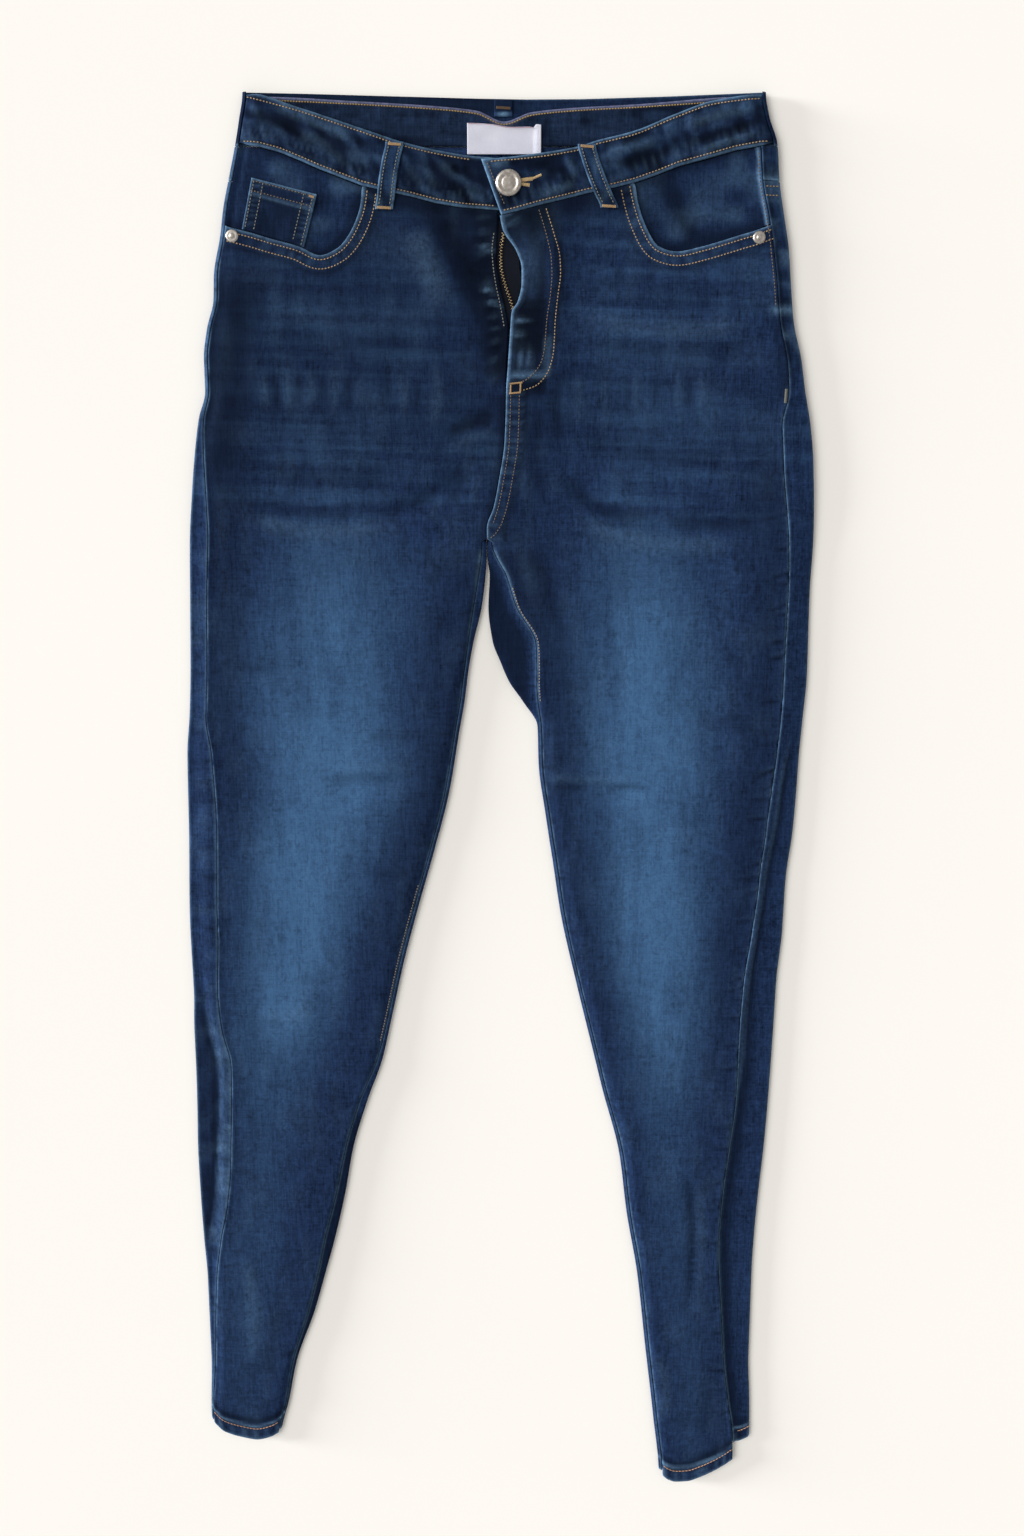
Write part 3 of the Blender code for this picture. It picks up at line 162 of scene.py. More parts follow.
# Soft creases of the fronts: three points along each, how deep (down is negative) and how wide. The first
# ten are in the solids too.
CREASES = (
    (-185, 280, -112, 250, -40, 268, -1.3, 11), (-60, 262, -34, 276, -14, 296, -1.0, 9),
    (44, 294, 92, 258, 150, 252, -1.3, 11), (135, 250, 170, 252, 205, 260, -1.0, 10),
    (-170, 372, -100, 356, -30, 366, -0.8, 10), (50, 372, 120, 350, 195, 366, -0.8, 10),
    (36, 56, 80, 50, 122, 54, -0.9, 8), (-120, 52, -85, 60, -48, 66, -0.8, 9),
    (160, -262, 166, -320, 164, -385, -0.9, 8), (-222, 45, -218, -30, -222, -110, 0.6, 7),
)
FINE_FOLDS = (
    # short upright ripples across both hips
    (-163, 359, -162, 344, -160, 330, 0.33, 2.3), (-155, 358, -153, 345, -154, 330, -0.51, 2.3),
    (-147, 359, -145, 344, -147, 328, 0.27, 2.3), (-138, 357, -136, 345, -139, 334, -0.38, 2.0),
    (-130, 360, -128, 345, -132, 330, 0.3, 2.6), (-121, 356, -119, 344, -121, 332, -0.42, 2.3),
    (-114, 364, -113, 345, -114, 322, 0.33, 2.0), (-104, 358, -101, 345, -103, 331, -0.51, 2.3),
    (-96, 356, -94, 344, -96, 332, 0.18, 2.6), (-77, 360, -74, 345, -77, 329, -0.38, 2.6),
    (-66, 357, -62, 343, -65, 326, 0.21, 2.6), (-55, 356, -52, 342, -56, 328, -0.34, 2.6),
    (-42, 366, -38, 342, -44, 316, 0.33, 3.2), (50, 362, 47, 336, 51, 300, -0.59, 3.2),
    (60, 358, 62, 340, 60, 318, 0.24, 3.2), (82, 362, 80, 344, 83, 324, 0.18, 2.6),
    (95, 360, 98, 344, 96, 328, -0.3, 2.6), (104, 362, 102, 344, 104, 326, 0.3, 2.3),
    (116, 356, 118, 344, 116, 330, -0.34, 2.6), (131, 358, 133, 345, 131, 332, 0.21, 2.6),
    (139, 358, 142, 345, 140, 330, -0.51, 2.3), (147, 357, 150, 344, 148, 332, 0.24, 2.6),
    # smile creases over the thighs and their lower neighbours
    (-192, 272, -138, 258, -86, 262, -0.4, 5), (-86, 262, -48, 270, -12, 300, -0.5, 5),
    (-180, 262, -130, 246, -60, 252, 0.45, 7), (-190, 300, -120, 284, -60, 292, -0.35, 8),
    (52, 290, 78, 262, 122, 256, -0.7, 6), (118, 257, 160, 250, 206, 256, -0.7, 5),
    (60, 262, 110, 238, 190, 240, 0.4, 7), (60, 318, 110, 300, 196, 302, -0.35, 8),
    # folds that run to the crotch
    (-38, 311, -14, 322, 4, 328, -0.7, 5), (-34, 303, -12, 313, 2, 318, 0.25, 4),
    (-46, 250, -38, 270, -32, 288, 0.25, 3), (-28, 262, -24, 276, -14, 290, -0.5, 4),
    (-14, 262, -12, 276, -6, 290, 0.2, 3), (-52, 238, -44, 224, -34, 212, -0.4, 4),
    (20, 330, 24, 300, 18, 266, 0.2, 4), (34, 336, 32, 300, 38, 262, -0.4, 6),
    (16, 250, 22, 226, 36, 190, 0.15, 5), (30, 240, 40, 210, 50, 170, -0.35, 6),
    # bands across the hips
    (-180, 424, -100, 410, -20, 420, -0.15, 8), (-170, 404, -90, 392, -20, 402, 0.1, 8),
    (-175, 388, -110, 378, -40, 382, -0.2, 7), (54, 420, 120, 404, 196, 414, -0.15, 8),
    (56, 398, 120, 386, 190, 392, 0.35, 8), (60, 384, 130, 372, 196, 380, -0.4, 7),
    (-32, 462, -22, 440, 2, 388, -0.9, 9), (-52, 458, -46, 430, -30, 396, 0.5, 10),
    # knees and thighs
    (38, 57, 60, 54, 76, 55, -0.6, 2.4), (82, 54, 104, 55, 126, 52, -0.6, 2.4),
    (38, 62, 70, 60, 118, 60, 0.3, 4), (-98, 92, -76, 94, -58, 92, -0.4, 4),
    (-130, 58, -100, 62, -66, 60, -0.4, 4), (-118, 66, -90, 70, -60, 67, 0.25, 5),
    (40, 138, 60, 132, 80, 134, -0.3, 5), (150, 110, 172, 104, 196, 108, -0.35, 5),
    (-196, 150, -170, 146, -150, 150, -0.3, 5), (-60, -10, -76, -14, -96, -12, -0.35, 5),
    (-140, -120, -160, -128, -186, -126, 0.3, 6), (70, -110, 92, -120, 120, -118, -0.3, 6),
    # lower legs
    (152, -256, 160, -310, 157, -392, -0.7, 3), (160, -262, 167, -312, 164, -388, 0.25, 4),
    (-206, -330, -196, -380, -202, -440, 0.35, 6), (-170, -360, -180, -400, -186, -446, -0.3, 6),
    (130, -420, 140, -450, 136, -490, 0.3, 5), (182, -440, 176, -470, 180, -500, -0.35, 5),
    (-205, -430, -190, -436, -176, -430, -0.3, 5), (146, -478, 160, -486, 180, -478, -0.3, 5),
)
FADE_LINE = {
    "left": ((420, -112), (225, -118), (121, -128), (60, -122), (6, -137), (-115, -161), (-300, -190),
             (-480, -205)),
    "right": ((420, 118), (196, 110), (91, 115), (-10, 122), (-115, 130), (-300, 142), (-480, 164)),
}
# How much darker the cloth stays than the body colour, by height.
WASH = {
    "left": ((544, 0.6), (470, 0.56), (400, 0.5), (330, 0.5), (280, 0.26), (240, 0.1), (200, 0.0),
             (-480, 0.0)),
    "right": ((544, 0.5), (470, 0.42), (430, 0.25), (380, 0.16), (345, 0.32), (320, 0.3), (290, 0.14),
              (260, 0.1), (200, 0.0), (-480, 0.0)),
}
# Places of the creases that cross the seam allowances and the edges of the fronts.
RIGHT_NIPS = (257, 234, 215, 207, 193, 185, 166, 154, 121, 89, 68, 55, 46, 31, 14, -5, -16, -28, -51, -76,
              -96, -105, -130, -152, -171, -196, -222, -240, -268, -290, -322, -351, -380, -402, -437, -455,
              -476)
LEFT_NIPS = (269, 234, 194, 168, 140, 98, 75, 43, 7, -16, -39, -58, -88, -112, -167, -198, -224, -250, -284,
             -330, -372)
INNER_NIPS = {
    "left": (188, 151, 96, 61, 12, -24, -61, -108, -121, -154, -175, -236, -291, -352, -420),
    "right": (192, 176, 149, 131, 96, 70, 28, -18, -60, -94, -133, -176, -230, -286, -331, -390, -446),
}
BAND_FOLDS = (
    # left half
    (-170, 531, -142, 522, -116, 505, -1.0, 3.6), (-126, 519, -108, 505, -95, 491, -0.9, 3.6),
    (-158, 535, -120, 524, -92, 508, 0.6, 3.6), (-108, 514, -94, 503, -84, 490, -0.4, 3.2),
    (-52, 500, -44, 490, -38, 479, 0.3, 3.0), (-36, 500, -28, 492, -16, 486, 0.4, 3.0),
    (-60, 494, -54, 488, -50, 481, -0.7, 3.6), (-30, 484, -22, 479, -8, 477, -0.8, 4.0),
    (-28, 496, -20, 493, -10, 494, -0.6, 3.0),
    # right half
    (82, 498, 108, 500, 132, 512, -1.0, 3.6), (128, 508, 154, 515, 187, 524, -0.9, 3.4),
    (130, 520, 155, 528, 184, 534, 0.6, 3.4), (138, 502, 160, 511, 188, 518, 0.6, 3.0),
    (76, 506, 98, 508, 118, 514, 0.5, 3.4), (34, 474, 46, 480, 60, 484, 0.6, 3.0),
    (30, 496, 44, 492, 58, 494, -0.7, 3.6), (50, 500, 56, 494, 58, 486, 0.6, 2.6),
    (2, 492, 6, 497, 14, 498, 0.7, 2.6),
)
FADE_WIDTH = ((420, 67), (225, 50), (100, 47), (0, 41), (-115, 33), (-300, 24), (-480, 17))
FADE_STRENGTH = ((450, 0.08), (350, 0.14), (275, 0.16), (225, 0.42), (160, 0.8), (60, 1.1), (-60, 1.15),
                 (-120, 0.95), (-175, 0.45), (-240, 0.24), (-480, 0.14))


# ---- small mathematics

def unit(value):
    """A value kept between 0 and 1."""
    return np.clip(value, 0.0, 1.0)


def smooth(value):
    """0 below 0, 1 above 1, and a soft S between."""
    value = unit(value)
    return value * value * (3 - 2 * value)


def ramp(value, start, width):
    """A soft S from 0 at the start to 1 a width further; it goes down where the width is negative."""
    return smooth((value - start) / width)


def mix(start, end, share):
    return start + (end - start) * share


def bell(distance, width):
    return np.exp(-(distance / width) ** 2)


def curve(rows, at, column=1):
    """Values of a column at places in the first column, along a smooth curve through the rows."""
    places, values = np.array(sorted((row[0], row[column]) for row in rows), float).T
    widths = np.diff(places)
    rates = np.diff(values) / widths
    slopes = np.zeros(len(places))
    product = rates[:-1] * rates[1:]
    total = np.where(product > 0, rates[:-1] + rates[1:], 1.0)
    slopes[1:-1] = np.where(product > 0, 2 * product / total, 0.0)
    at = np.clip(at, places[0], places[-1])
    i = np.clip(np.searchsorted(places, at, side="right") - 1, 0, len(places) - 2)
    t = (at - places[i]) / widths[i]
    bend = (2 * t ** 3 - 3 * t ** 2 + 1) * values[i] + (3 * t ** 2 - 2 * t ** 3) * values[i + 1]
    lean = (t ** 3 - 2 * t ** 2 + t) * slopes[i] + (t ** 3 - t ** 2) * slopes[i + 1]
    return bend + lean * widths[i]


def line(rows, at, column=1):
    """As curve, along straight lines."""
    places, values = np.array(sorted((row[0], row[column]) for row in rows), float).T
    return np.interp(at, places, values)


NOISE_GRID = np.random.default_rng(11).uniform(-1, 1, (256, 256))


def noise(x, y, across, along, seed=0):
    """Soft random values from -1 to 1, with features of a size across and along the jeans."""
    u, v = np.broadcast_arrays(x / across + 41.3 * seed, y / along + 17.9 * seed)
    i, j = np.floor(u).astype(int), np.floor(v).astype(int)
    p, q = smooth(u - i), smooth(v - j)
    corner = [[NOISE_GRID[(i + a) % 256, (j + b) % 256] for b in (0, 1)] for a in (0, 1)]
    return mix(mix(corner[0][0], corner[1][0], p), mix(corner[0][1], corner[1][1], p), q)


def fold_sum(table, x, y):
    """Height of all the folds of a table at points of the cloth."""
    total = np.zeros(np.broadcast(x, y).shape)
    steps = np.linspace(0, 1, 25)
    for x1, y1, x2, y2, x3, y3, height, half_width in table:
        middle_x, middle_y = 2 * x2 - (x1 + x3) / 2, 2 * y2 - (y1 + y3) / 2
        reach = 2.5 * half_width
        near = ((x > min(x1, x2, x3) - reach) & (x < max(x1, x2, x3) + reach)
                & (y > min(y1, y2, y3) - reach - 12) & (y < max(y1, y2, y3) + reach + 12))
        if not near.any():
            continue
        px, py = x[near][:, None], y[near][:, None]
        cx = (1 - steps) ** 2 * x1 + 2 * steps * (1 - steps) * middle_x + steps ** 2 * x3
        cy = (1 - steps) ** 2 * y1 + 2 * steps * (1 - steps) * middle_y + steps ** 2 * y3
        gaps = np.hypot(px - cx, py - cy)
        k = gaps.argmin(axis=1)
        nearest, along = gaps[np.arange(len(k)), k], steps[k]
        fade = smooth(along / 0.25) * ramp(along, 1, -0.25)
        total[near] += height * fade * bell(nearest, half_width)
    return total


def lengths_along(points):
    return np.concatenate(([0], np.cumsum(np.hypot(*np.diff(points, axis=0).T))))


def dense(points, step=1.5, through=line):
    """A polyline of evenly spaced points along the given ones."""
    lengths = lengths_along(points)
    at = np.linspace(0, lengths[-1], max(2, int(lengths[-1] / step) + 1))
    table = np.column_stack((lengths, points))
    return np.column_stack((through(table, at, 1), through(table, at, 2)))


def rounded(points):
    """A smooth polyline through the given points."""
    return dense(points, through=curve)


def beside(points, distance):
    """A polyline moved sideways: a positive distance is to the left of its direction."""
    points = np.array(points, float)
    along = np.gradient(points, axis=0)
    along /= np.hypot(*along.T)[:, None]
    return points + distance * np.column_stack((-along[:, 1], along[:, 0]))


def nearest_on(points, x, y):
    """Distance from each place to a polyline, and the length along it there."""
    points = dense(points, 2.0)
    lengths = lengths_along(points)
    distance, along = np.empty(x.shape), np.empty(x.shape)
    for row in np.ndindex(x.shape[:-1]):
        gaps = np.hypot(x[row][:, None] - points[:, 0], y[row][:, None] - points[:, 1])
        k = gaps.argmin(axis=1)
        distance[row], along[row] = gaps[np.arange(len(k)), k], lengths[k]
    return distance, along


# ---- the flattened tube, as in the solids

def inward(side):
    return 1 if side == "left" else -1


def seat_lift(y):
    return SEAT_LIFT * ramp(y, 210, 80)


def edge_radius(y):
    return EDGE_RADIUS + 0.2 * ramp(y, 210, 80)


def fly_height(side, x, y):
    """The right front is lifted by the layers of the fly, and the left front dips beneath it."""
    length = ramp(y, 343, 12)
    if side == "left":
        return -0.5 * length * ramp(x, -25, 20)
    top = 0.9 * ramp(y, 444, 8) * ramp(x, 34, -10)
    return (1.6 + top) * length * ramp(x, 62, -16)


def top_height(side, x, y):
    """Height of the fronts' outer face above the surface, with the largest creases only."""
    x, y = np.broadcast_arrays(np.asarray(x, float), np.asarray(y, float))
    inset = (x - curve(OUTER[side], y)) * inward(side)
    pressed = seat_lift(y) + 2 * edge_radius(y)
    swell = smooth((inset - curve(OUTER[side], y, 3)) / curve(OUTER[side], y, 4))
    from_inner = (curve(INNER[side], y) - x) * inward(side)
    start = np.maximum(PRESSED, curve(INNER[side], y, 2) - 2)
    inner_swell = smooth((from_inner - start) / curve(INNER[side], y, 3))
    swell = swell * mix(1.0, inner_swell, ramp(y, 246, -14))
    height = pressed + (curve(FULL_HEIGHT, y) - pressed) * swell
    return height + swell * (fold_sum(CREASES, x, y) + fly_height(side, x, y))


def front_edges(side, y):
    """X of a front panel's outer seam and of its fly, rise or inner seam at heights."""
    y = np.asarray(y, float)
    direction = inward(side)
    outer = curve(OUTER[side], y) + direction * (curve(OUTER[side], y, 2) + SEAM / 2)
    fly = curve(FLY_EDGE[side], y) - direction * SEAM / 2
    rise = curve(RISE, y) - direction * mix(SEAM / 2, 2 * SEAM, smooth((CROTCH + 2 - y) / 2))
    leg = curve(INNER[side], y) - direction * (curve(INNER[side], y, 2) + SEAM / 2)
    return outer, np.where(y >= 342, fly, np.where(y >= CROTCH, rise, leg))


# ---- surface form and marks

def puckers(along, away, pitch, slant=0.4, seed=0):
    """Uneven short waves beside a seam, from -1 to 1."""
    phase = (along + slant * away) / pitch + 0.8 * noise(along, 0 * away, 3 * pitch, 50, seed)
    strength = 0.55 + 0.45 * noise(along, 0 * away, 2.3 * pitch, 50, seed + 3)
    return np.sin(2 * math.pi * phase) * strength


def nips(places, along, away, seed, reach=(10, 26), thick=(0.8, 1.5), slant=(-0.45, 0.1), shift=0.0):
    """Short creases that run from a seam into the cloth, uneven in length and strength."""
    chance = np.random.default_rng(seed)
    along, away = np.broadcast_arrays(along, away)
    total = np.zeros(along.shape)
    for place in places:
        far, wide, lean, strength = (chance.uniform(*span) for span in (reach, thick, slant, (0.55, 1.0)))
        near = (np.abs(along - place) < 16) & (away < far)
        gap = along[near] - place - shift - lean * away[near]
        reach_share = away[near] / far
        part = strength * bell(gap, wide * (1 + 0.4 * reach_share)) * smooth((1 - reach_share) / 0.9)
        total[near] = np.maximum(total[near], part)
    return total


def top_edge(side):
    """Rows of (share, x, y) along the whole top edge of a front panel."""
    waist = WAIST_SEAM[side][POCKET_CORNER:POCKET_CORNER + len(WAIST_SHARES)]
    return POCKET_EDGE[side] + tuple((share, x, y) for share, (x, y) in zip(WAIST_SHARES, waist))


POCKET_LINE = {side: rounded([row[1:] for row in POCKET_EDGE[side]] + [WAIST_SEAM[side][POCKET_CORNER]])
               for side in SIDES}
J_OUTER = rounded(((38, 468), (44, 450), (48, 435), (48.5, 424), (47, 412), (45, 393), (44, 373), (41, 360),
                   (32, 348.5), (22, 345)))
J_INNER = rounded(((33, 467), (38.5, 450), (42, 434), (42.5, 424), (41.5, 410), (39, 393), (37.5, 374),
                   (35, 364), (27, 354), (22, 351), (13, 349)))
RISE_LINE = rounded([(x, y) for y, x in RISE[:-1]])
# Place, height, lean, half height and half width of each tuck; place, height, wear and painted shade of each
# tick.
FLY_TUCKS = ((19, 393, 1.0, 0.0, 1.3, 6), (17.5, 383.6, 1.0, 0.0, 1.3, 5), (13, 461.8, 0.7, 0.2, 1.1, 5),
             (11, 457, 0.7, 0.0, 1.1, 5))
FLY_TICKS = ((-6.5, 447, -0.4, 0, 0.8), (-3, 441.5, 0.4, 0.45, -0.5), (-4.5, 432, -0.4, 0, 0.8),
             (-2.5, 413, 0.4, 0.45, -0.5), (2.4, 404, 0.4, 0.45, -0.5), (-5, 421, -0.4, 0, 0.8))


def hem_height(table, side, x, y):
    """Height above the lower edge of the leg end."""
    return y - curve(table[side], x)


def front_marks(side, x, y):
    """Fine height, wear, and dark dye with painted shade of a front panel."""
    outer, inner = front_edges(side, y)
    from_outer, from_inner = (x - outer) * inward(side), (inner - x) * inward(side)
    seed = 1 if side == "left" else 5
    folds, soft = fold_sum(FINE_FOLDS, x, y), noise(x, y, 9, 22, seed + 2)
    patchy = 0.65 + 0.5 * noise(y, 0 * y, 7, 9, seed + 7)
    # Ridges of the folds are rubbed lighter; their valleys are darkened, partly unworn dye and partly
    # painted shade.
    marks = (folds + 0.22 * noise(x, y, 34, 46, seed) + 0.10 * noise(x, y, 13, 17, seed + 1),
             0.34 * unit(folds) + 0.05 * unit(soft),
             0.8 * unit(-folds) + 0.08 * unit(-soft) + curve(WASH[side], y))
    mark_outer_seam(side, y, from_outer, patchy, *marks)
    mark_inner_seam(side, y, from_inner, patchy, seed, *marks)
    mark_pocket_and_waist(side, x, y, seed, *marks)
    if side == "left":
        mark_left_fly(x, y, from_inner, *marks)
    else:
        mark_right_fly(x, y, from_inner, *marks)
    hem = hem_marks(x, hem_height(HEM, side, x, y))
    return tuple(mark + more for mark, more in zip(marks, hem))


# Functions named mark_ add to the fine height, wear, and dark dye with painted shade that they are given.

def mark_outer_seam(side, y, from_outer, patchy, relief, wear, dye_and_shade):
    """A narrow ridge, with creases beside it on the right leg."""
    relief += 0.35 * bell(from_outer - 1.2, 1.2)
    shown = 1.0 if side == "left" else ramp(y, 352, -14)
    wear += 0.42 * bell(from_outer - 0.3, 0.7) * unit(patchy * 1.6 - 0.5) * shown
    if side == "left":
        dye_and_shade += 0.5 * ramp(from_outer, 44, -30) * ramp(y, 440, -30) * (1 - 0.7 * ramp(y, 180, -240))
        return
    crease = nips(RIGHT_NIPS, y, from_outer, 17)
    ridge = nips(RIGHT_NIPS, y, from_outer, 17, shift=3.2)
    relief += 0.3 * ridge - 0.8 * crease
    wear += 0.07 * ridge + 0.55 * bell(y - 400, 2.6) * ramp(from_outer, 7, -4)
    # Crease valleys darkened: partly unworn dye, partly painted shade.
    dye_and_shade += 0.8 * crease
    dye_and_shade += 0.5 * ramp(from_outer, 46, -36) * ramp(y, 330, -60) * (1 - 0.5 * ramp(y, 20, -240))
    # Painted shade beside the seam over the right hip, and above the light crease at 400.
    dye_and_shade += 0.5 * ramp(y, 330, 20) * ramp(y, 400, -10) * ramp(from_outer, 9, -5)
    dye_and_shade += 0.5 * bell(y - 407, 3) * ramp(from_outer, 7, -4)


def mark_inner_seam(side, y, from_inner, patchy, seed, relief, wear, dye_and_shade):
    """The inner seam of the leg and the rise above it, whose right edge is raised and puckered."""
    leg = ramp(y, 236, -8)
    low = 1 - 0.65 * ramp(y, 20, -240)
    crease = nips(INNER_NIPS[side], y, from_inner, 19 + seed, (8, 18))
    relief += leg * (0.25 * bell(from_inner - 1.4, 1.4) - 0.5 * crease)
    wear += leg * 0.42 * patchy * bell(from_inner - 0.3, 0.8)
    wear += leg * 0.4 * bell(y - 222, 16) * bell(from_inner - 0.8, 1.4)
    # Crease valleys darkened, partly dye and partly painted shade, and a darker band along the seam.
    dye_and_shade += leg * (0.6 * crease + (0.5 if side == "left" else 0.4) * low * ramp(from_inner, 52, -44))
    seat = ramp(y, 234, 8) * ramp(y, 346, -6)
    if side == "left":
        # Painted shade in the groove of the left rise.
        dye_and_shade += seat * (0.55 * bell(from_inner, 4) + 0.12 * ramp(from_inner, 50, -40))
        relief -= seat * 0.25 * bell(from_inner, 5)
        return
    raised = ramp(from_inner, 12.5, -1.5)
    wave = puckers(y, from_inner, 7, 0.1, seed + 4)
    relief += seat * raised * (0.5 + 0.25 * wave)
    wear += seat * (0.6 * bell(from_inner, 1.2) + 0.3 * raised * unit(wave))
    dye_and_shade += 0.25 * seat * ramp(from_inner, 60, -40) + 0.35 * bell(y - 215, 45) * ramp(from_inner, 70, -60)
    # Painted shade in the pucker valleys and at the foot of the raised edge.
    dye_and_shade += seat * (0.5 * raised * unit(-wave) + 0.45 * bell(from_inner - 13.5, 1.8))


def mark_pocket_and_waist(side, x, y, seed, relief, wear, dye_and_shade):
    """The facing sewn under the pocket opening, with painted shade in its puckers and beside its edge, and
    the painted shade below the waistband.
    """
    away, along = nearest_on(POCKET_LINE[side], x, y)
    wave = puckers(along, away, 8, 0.3, seed + 6)
    raised = ramp(away, 11, -1.5)
    relief += raised * (0.35 + 0.12 * wave) + 0.3 * bell(away - 1.2, 1.4)
    wear += 0.85 * bell(away, 1.6) + 0.15 * raised * unit(wave)
    # Painted shade in the pucker valleys and beside the facing's edge; below, painted shade under the
    # waistband.
    dye_and_shade += 0.3 * raised * unit(-wave) + 0.35 * bell(away - 12.5, 2)
    dye_and_shade += 0.8 * bell(line(WAIST_SEAM[side], x) - y, 9 if side == "left" else 13)


def mark_right_fly(x, y, from_inner, relief, wear, dye_and_shade):
    """The flap over the zip: almost black at its foot, with light tucks, streaks and edges."""
    fly = ramp(y, 341, 3)
    tucks = sum(high * bell(y - tuck_y + lean * (x - tuck_x), narrow) * bell(x - tuck_x, wide)
                for tuck_x, tuck_y, high, lean, narrow, wide in FLY_TUCKS)
    streaks = (bell(x - 20, 1.5) + bell(x - 27, 1.5)) * bell(y - 366, 6)
    away, along = nearest_on(J_OUTER, x, y)
    wave = puckers(along, away, 8, 0.2, 9)
    relief += 0.25 * wave * bell(away + 3, 6) - 0.35 * bell(away, 1.5)
    # Painted shade beside the J stitch and in its pucker valleys.
    dye_and_shade += 0.6 * ramp(y, 372, 8) * bell(away + 3, 7) + 0.45 * bell(away - 1, 2.4)
    dye_and_shade += 0.35 * unit(-wave) * bell(away, 6)
    inside = fly * ramp(x, 41, -6) * ramp(from_inner, 1.5, 2)
    block = ramp(y, 369, 4) * ramp(y, 410, -8)
    blob = bell(x - 27.7, 9) * bell(y - 432, 20)
    patch = unit(noise(x, y, 5, 8, 31)) * (1 - block)
    dye_and_shade += inside * (1.1 + 1.1 * block - 0.75 * blob - 0.7 * patch - 0.4 * ramp(x, 27, -8) * ramp(y, 405,
                                                                                                   10))
    light = 0.55 * tucks + 0.4 * streaks + 0.5 * bell(y - 355.5, 2.2)
    dye_and_shade *= 1 - inside * unit(light * 1.6)
    relief += inside * (0.5 * tucks + 0.3 * streaks + 0.4 * bell(y - 355.5, 2.5) - 0.3 * block)
    wear += inside * (0.12 * blob + light) + fly * 0.9 * bell(from_inner - 0.6, 1.2)
    wear += fly * 0.35 * bell(x - 39.5, 2.0) * ramp(y, 385, -8) * ramp(y, 352, 6)


def mark_left_fly(x, y, from_inner, relief, wear, dye_and_shade):
    """The edge beneath the flap, with short ticks across it, painted shade under the flap, and a painted
    shadow of a fold beside it.
    """
    fly = ramp(y, 345, 12)
    wave = puckers(y, from_inner, 12, 0.2, 12)
    relief += fly * (0.4 * wave * bell(from_inner - 6, 6) + 0.3 * bell(from_inner - 1, 1.5))
    wear += fly * 0.16 * unit(wave) * bell(from_inner - 9, 3)
    # Painted shade under the flap's edge and in the pucker valleys.
    dye_and_shade += fly * (0.8 * bell(from_inner - 3, 8) + 0.6 * unit(-wave) * bell(from_inner - 9, 7))
    # Dented ticks get painted shade, raised ones are rubbed lighter.
    for tick_x, tick_y, high, light, deep in FLY_TICKS:
        mark = bell(x - tick_x, 4.5) * bell(y - tick_y + 0.3 * (x - tick_x), 1.3)
        relief += high * mark
        wear += light * mark
        dye_and_shade += deep * mark
    # Painted shadow of a diagonal fold, and painted shade beside the fly.
    dye_and_shade += 0.4 * bell(nearest_on(((-40, 468), (-20, 430), (4, 380)), x, y)[0], 11)
    dye_and_shade += 0.45 * ramp(from_inner, 26, -18) * ramp(y, 340, 30)


HEM_STITCH = 10.3


def hem_marks(x, above):
    """Fine height, wear, and dark dye with painted shade of a turned-up hem, from its height above the edge.
    """
    near = ramp(above, 32, -6)
    rope = np.sin(2 * math.pi * ((x + 0.15 * above) / 9.5 + 0.5 * noise(x, 0 * x, 17, 200, 8)))
    rope = rope * (0.6 + 0.4 * noise(x, 0 * x, 7, 200, 9)) * bell(above - 5.2, 3.8)
    relief = near * (0.3 * smooth((HEM_DEPTH - above) / 1.2) + 0.22 * rope + 0.45 * bell(above - 13.0, 1.5)
                     - 0.3 * bell(above - 18.5, 3.5) - 0.35 * bell(above - HEM_STITCH, 1.1))
    wear = near * (0.95 * bell(above, 1.5) + 0.62 * bell(above - 13.0, 1.0) + 0.3 * unit(rope))
    # Darker below the stitch and in the rope valleys, with painted shade in the stitch groove and a painted
    # shadow of the crease above the ridge.
    dye_and_shade = near * (0.2 * smooth((HEM_STITCH - above) / 2) + 0.4 * unit(-rope) + 0.85 * bell(above - 17.5,
                                                                                            3.6)
                   + 0.5 * bell(above - HEM_STITCH - 0.4, 1.3))
    return relief, wear, dye_and_shade


def front_height(side, x, y):
    x, y = np.broadcast_arrays(np.asarray(x, float), np.asarray(y, float))
    return top_height(side, x, y) + front_marks(side, x, y)[0]


def fade_at(x, y):
    """Washed-out colour down the middle of both legs."""
    side_fade = 0.0
    for side in SIDES:
        centre = curve(FADE_LINE[side], y)
        narrow = 1 if side == "left" else 0.88
        side_fade = side_fade + bell(x - centre, narrow * curve(FADE_WIDTH, y))
    strength = curve(FADE_STRENGTH, y)
    blotch = 1 + 0.22 * noise(x, y, 26, 60, 2) + 0.20 * noise(x, y, 6, 40, 3) + 0.08 * noise(x, y, 26, 5, 5)
    hips = 0.20 * noise(x, y + 0.04 * x, 80, 3.4, 6) + 0.10 * noise(x, y, 40, 16, 9) + 0.10 * noise(x, y, 5,
                                                                                                    26, 7)
    return unit(side_fade * strength * blotch + hips * ramp(y, 230, 40) + 0.05 * noise(x, y, 50, 50, 4))


# ---- materials

class Number:
    """A value socket whose operators add Math nodes."""

    def __init__(self, look, socket):
        self.look, self.socket = look, socket

    def _with(self, operation, *inputs, clamp=False):
        settings = {"operation": operation, "use_clamp": clamp}
        return self.look.add("ShaderNodeMath", settings, dict(enumerate(inputs)))

    def __add__(self, other):
        return self._with("ADD", self, other)

    def __radd__(self, other):
        return self._with("ADD", other, self)

    def __sub__(self, other):
        return self._with("SUBTRACT", self, other)

    def __rsub__(self, other):
        return self._with("SUBTRACT", other, self)

    def __mul__(self, other):
        return self._with("MULTIPLY", self, other)

    def __rmul__(self, other):
        return self._with("MULTIPLY", other, self)

    def clamped(self):
        return self._with("ADD", self, 0.0, clamp=True)

    def sine(self):
        return self._with("SINE", self)


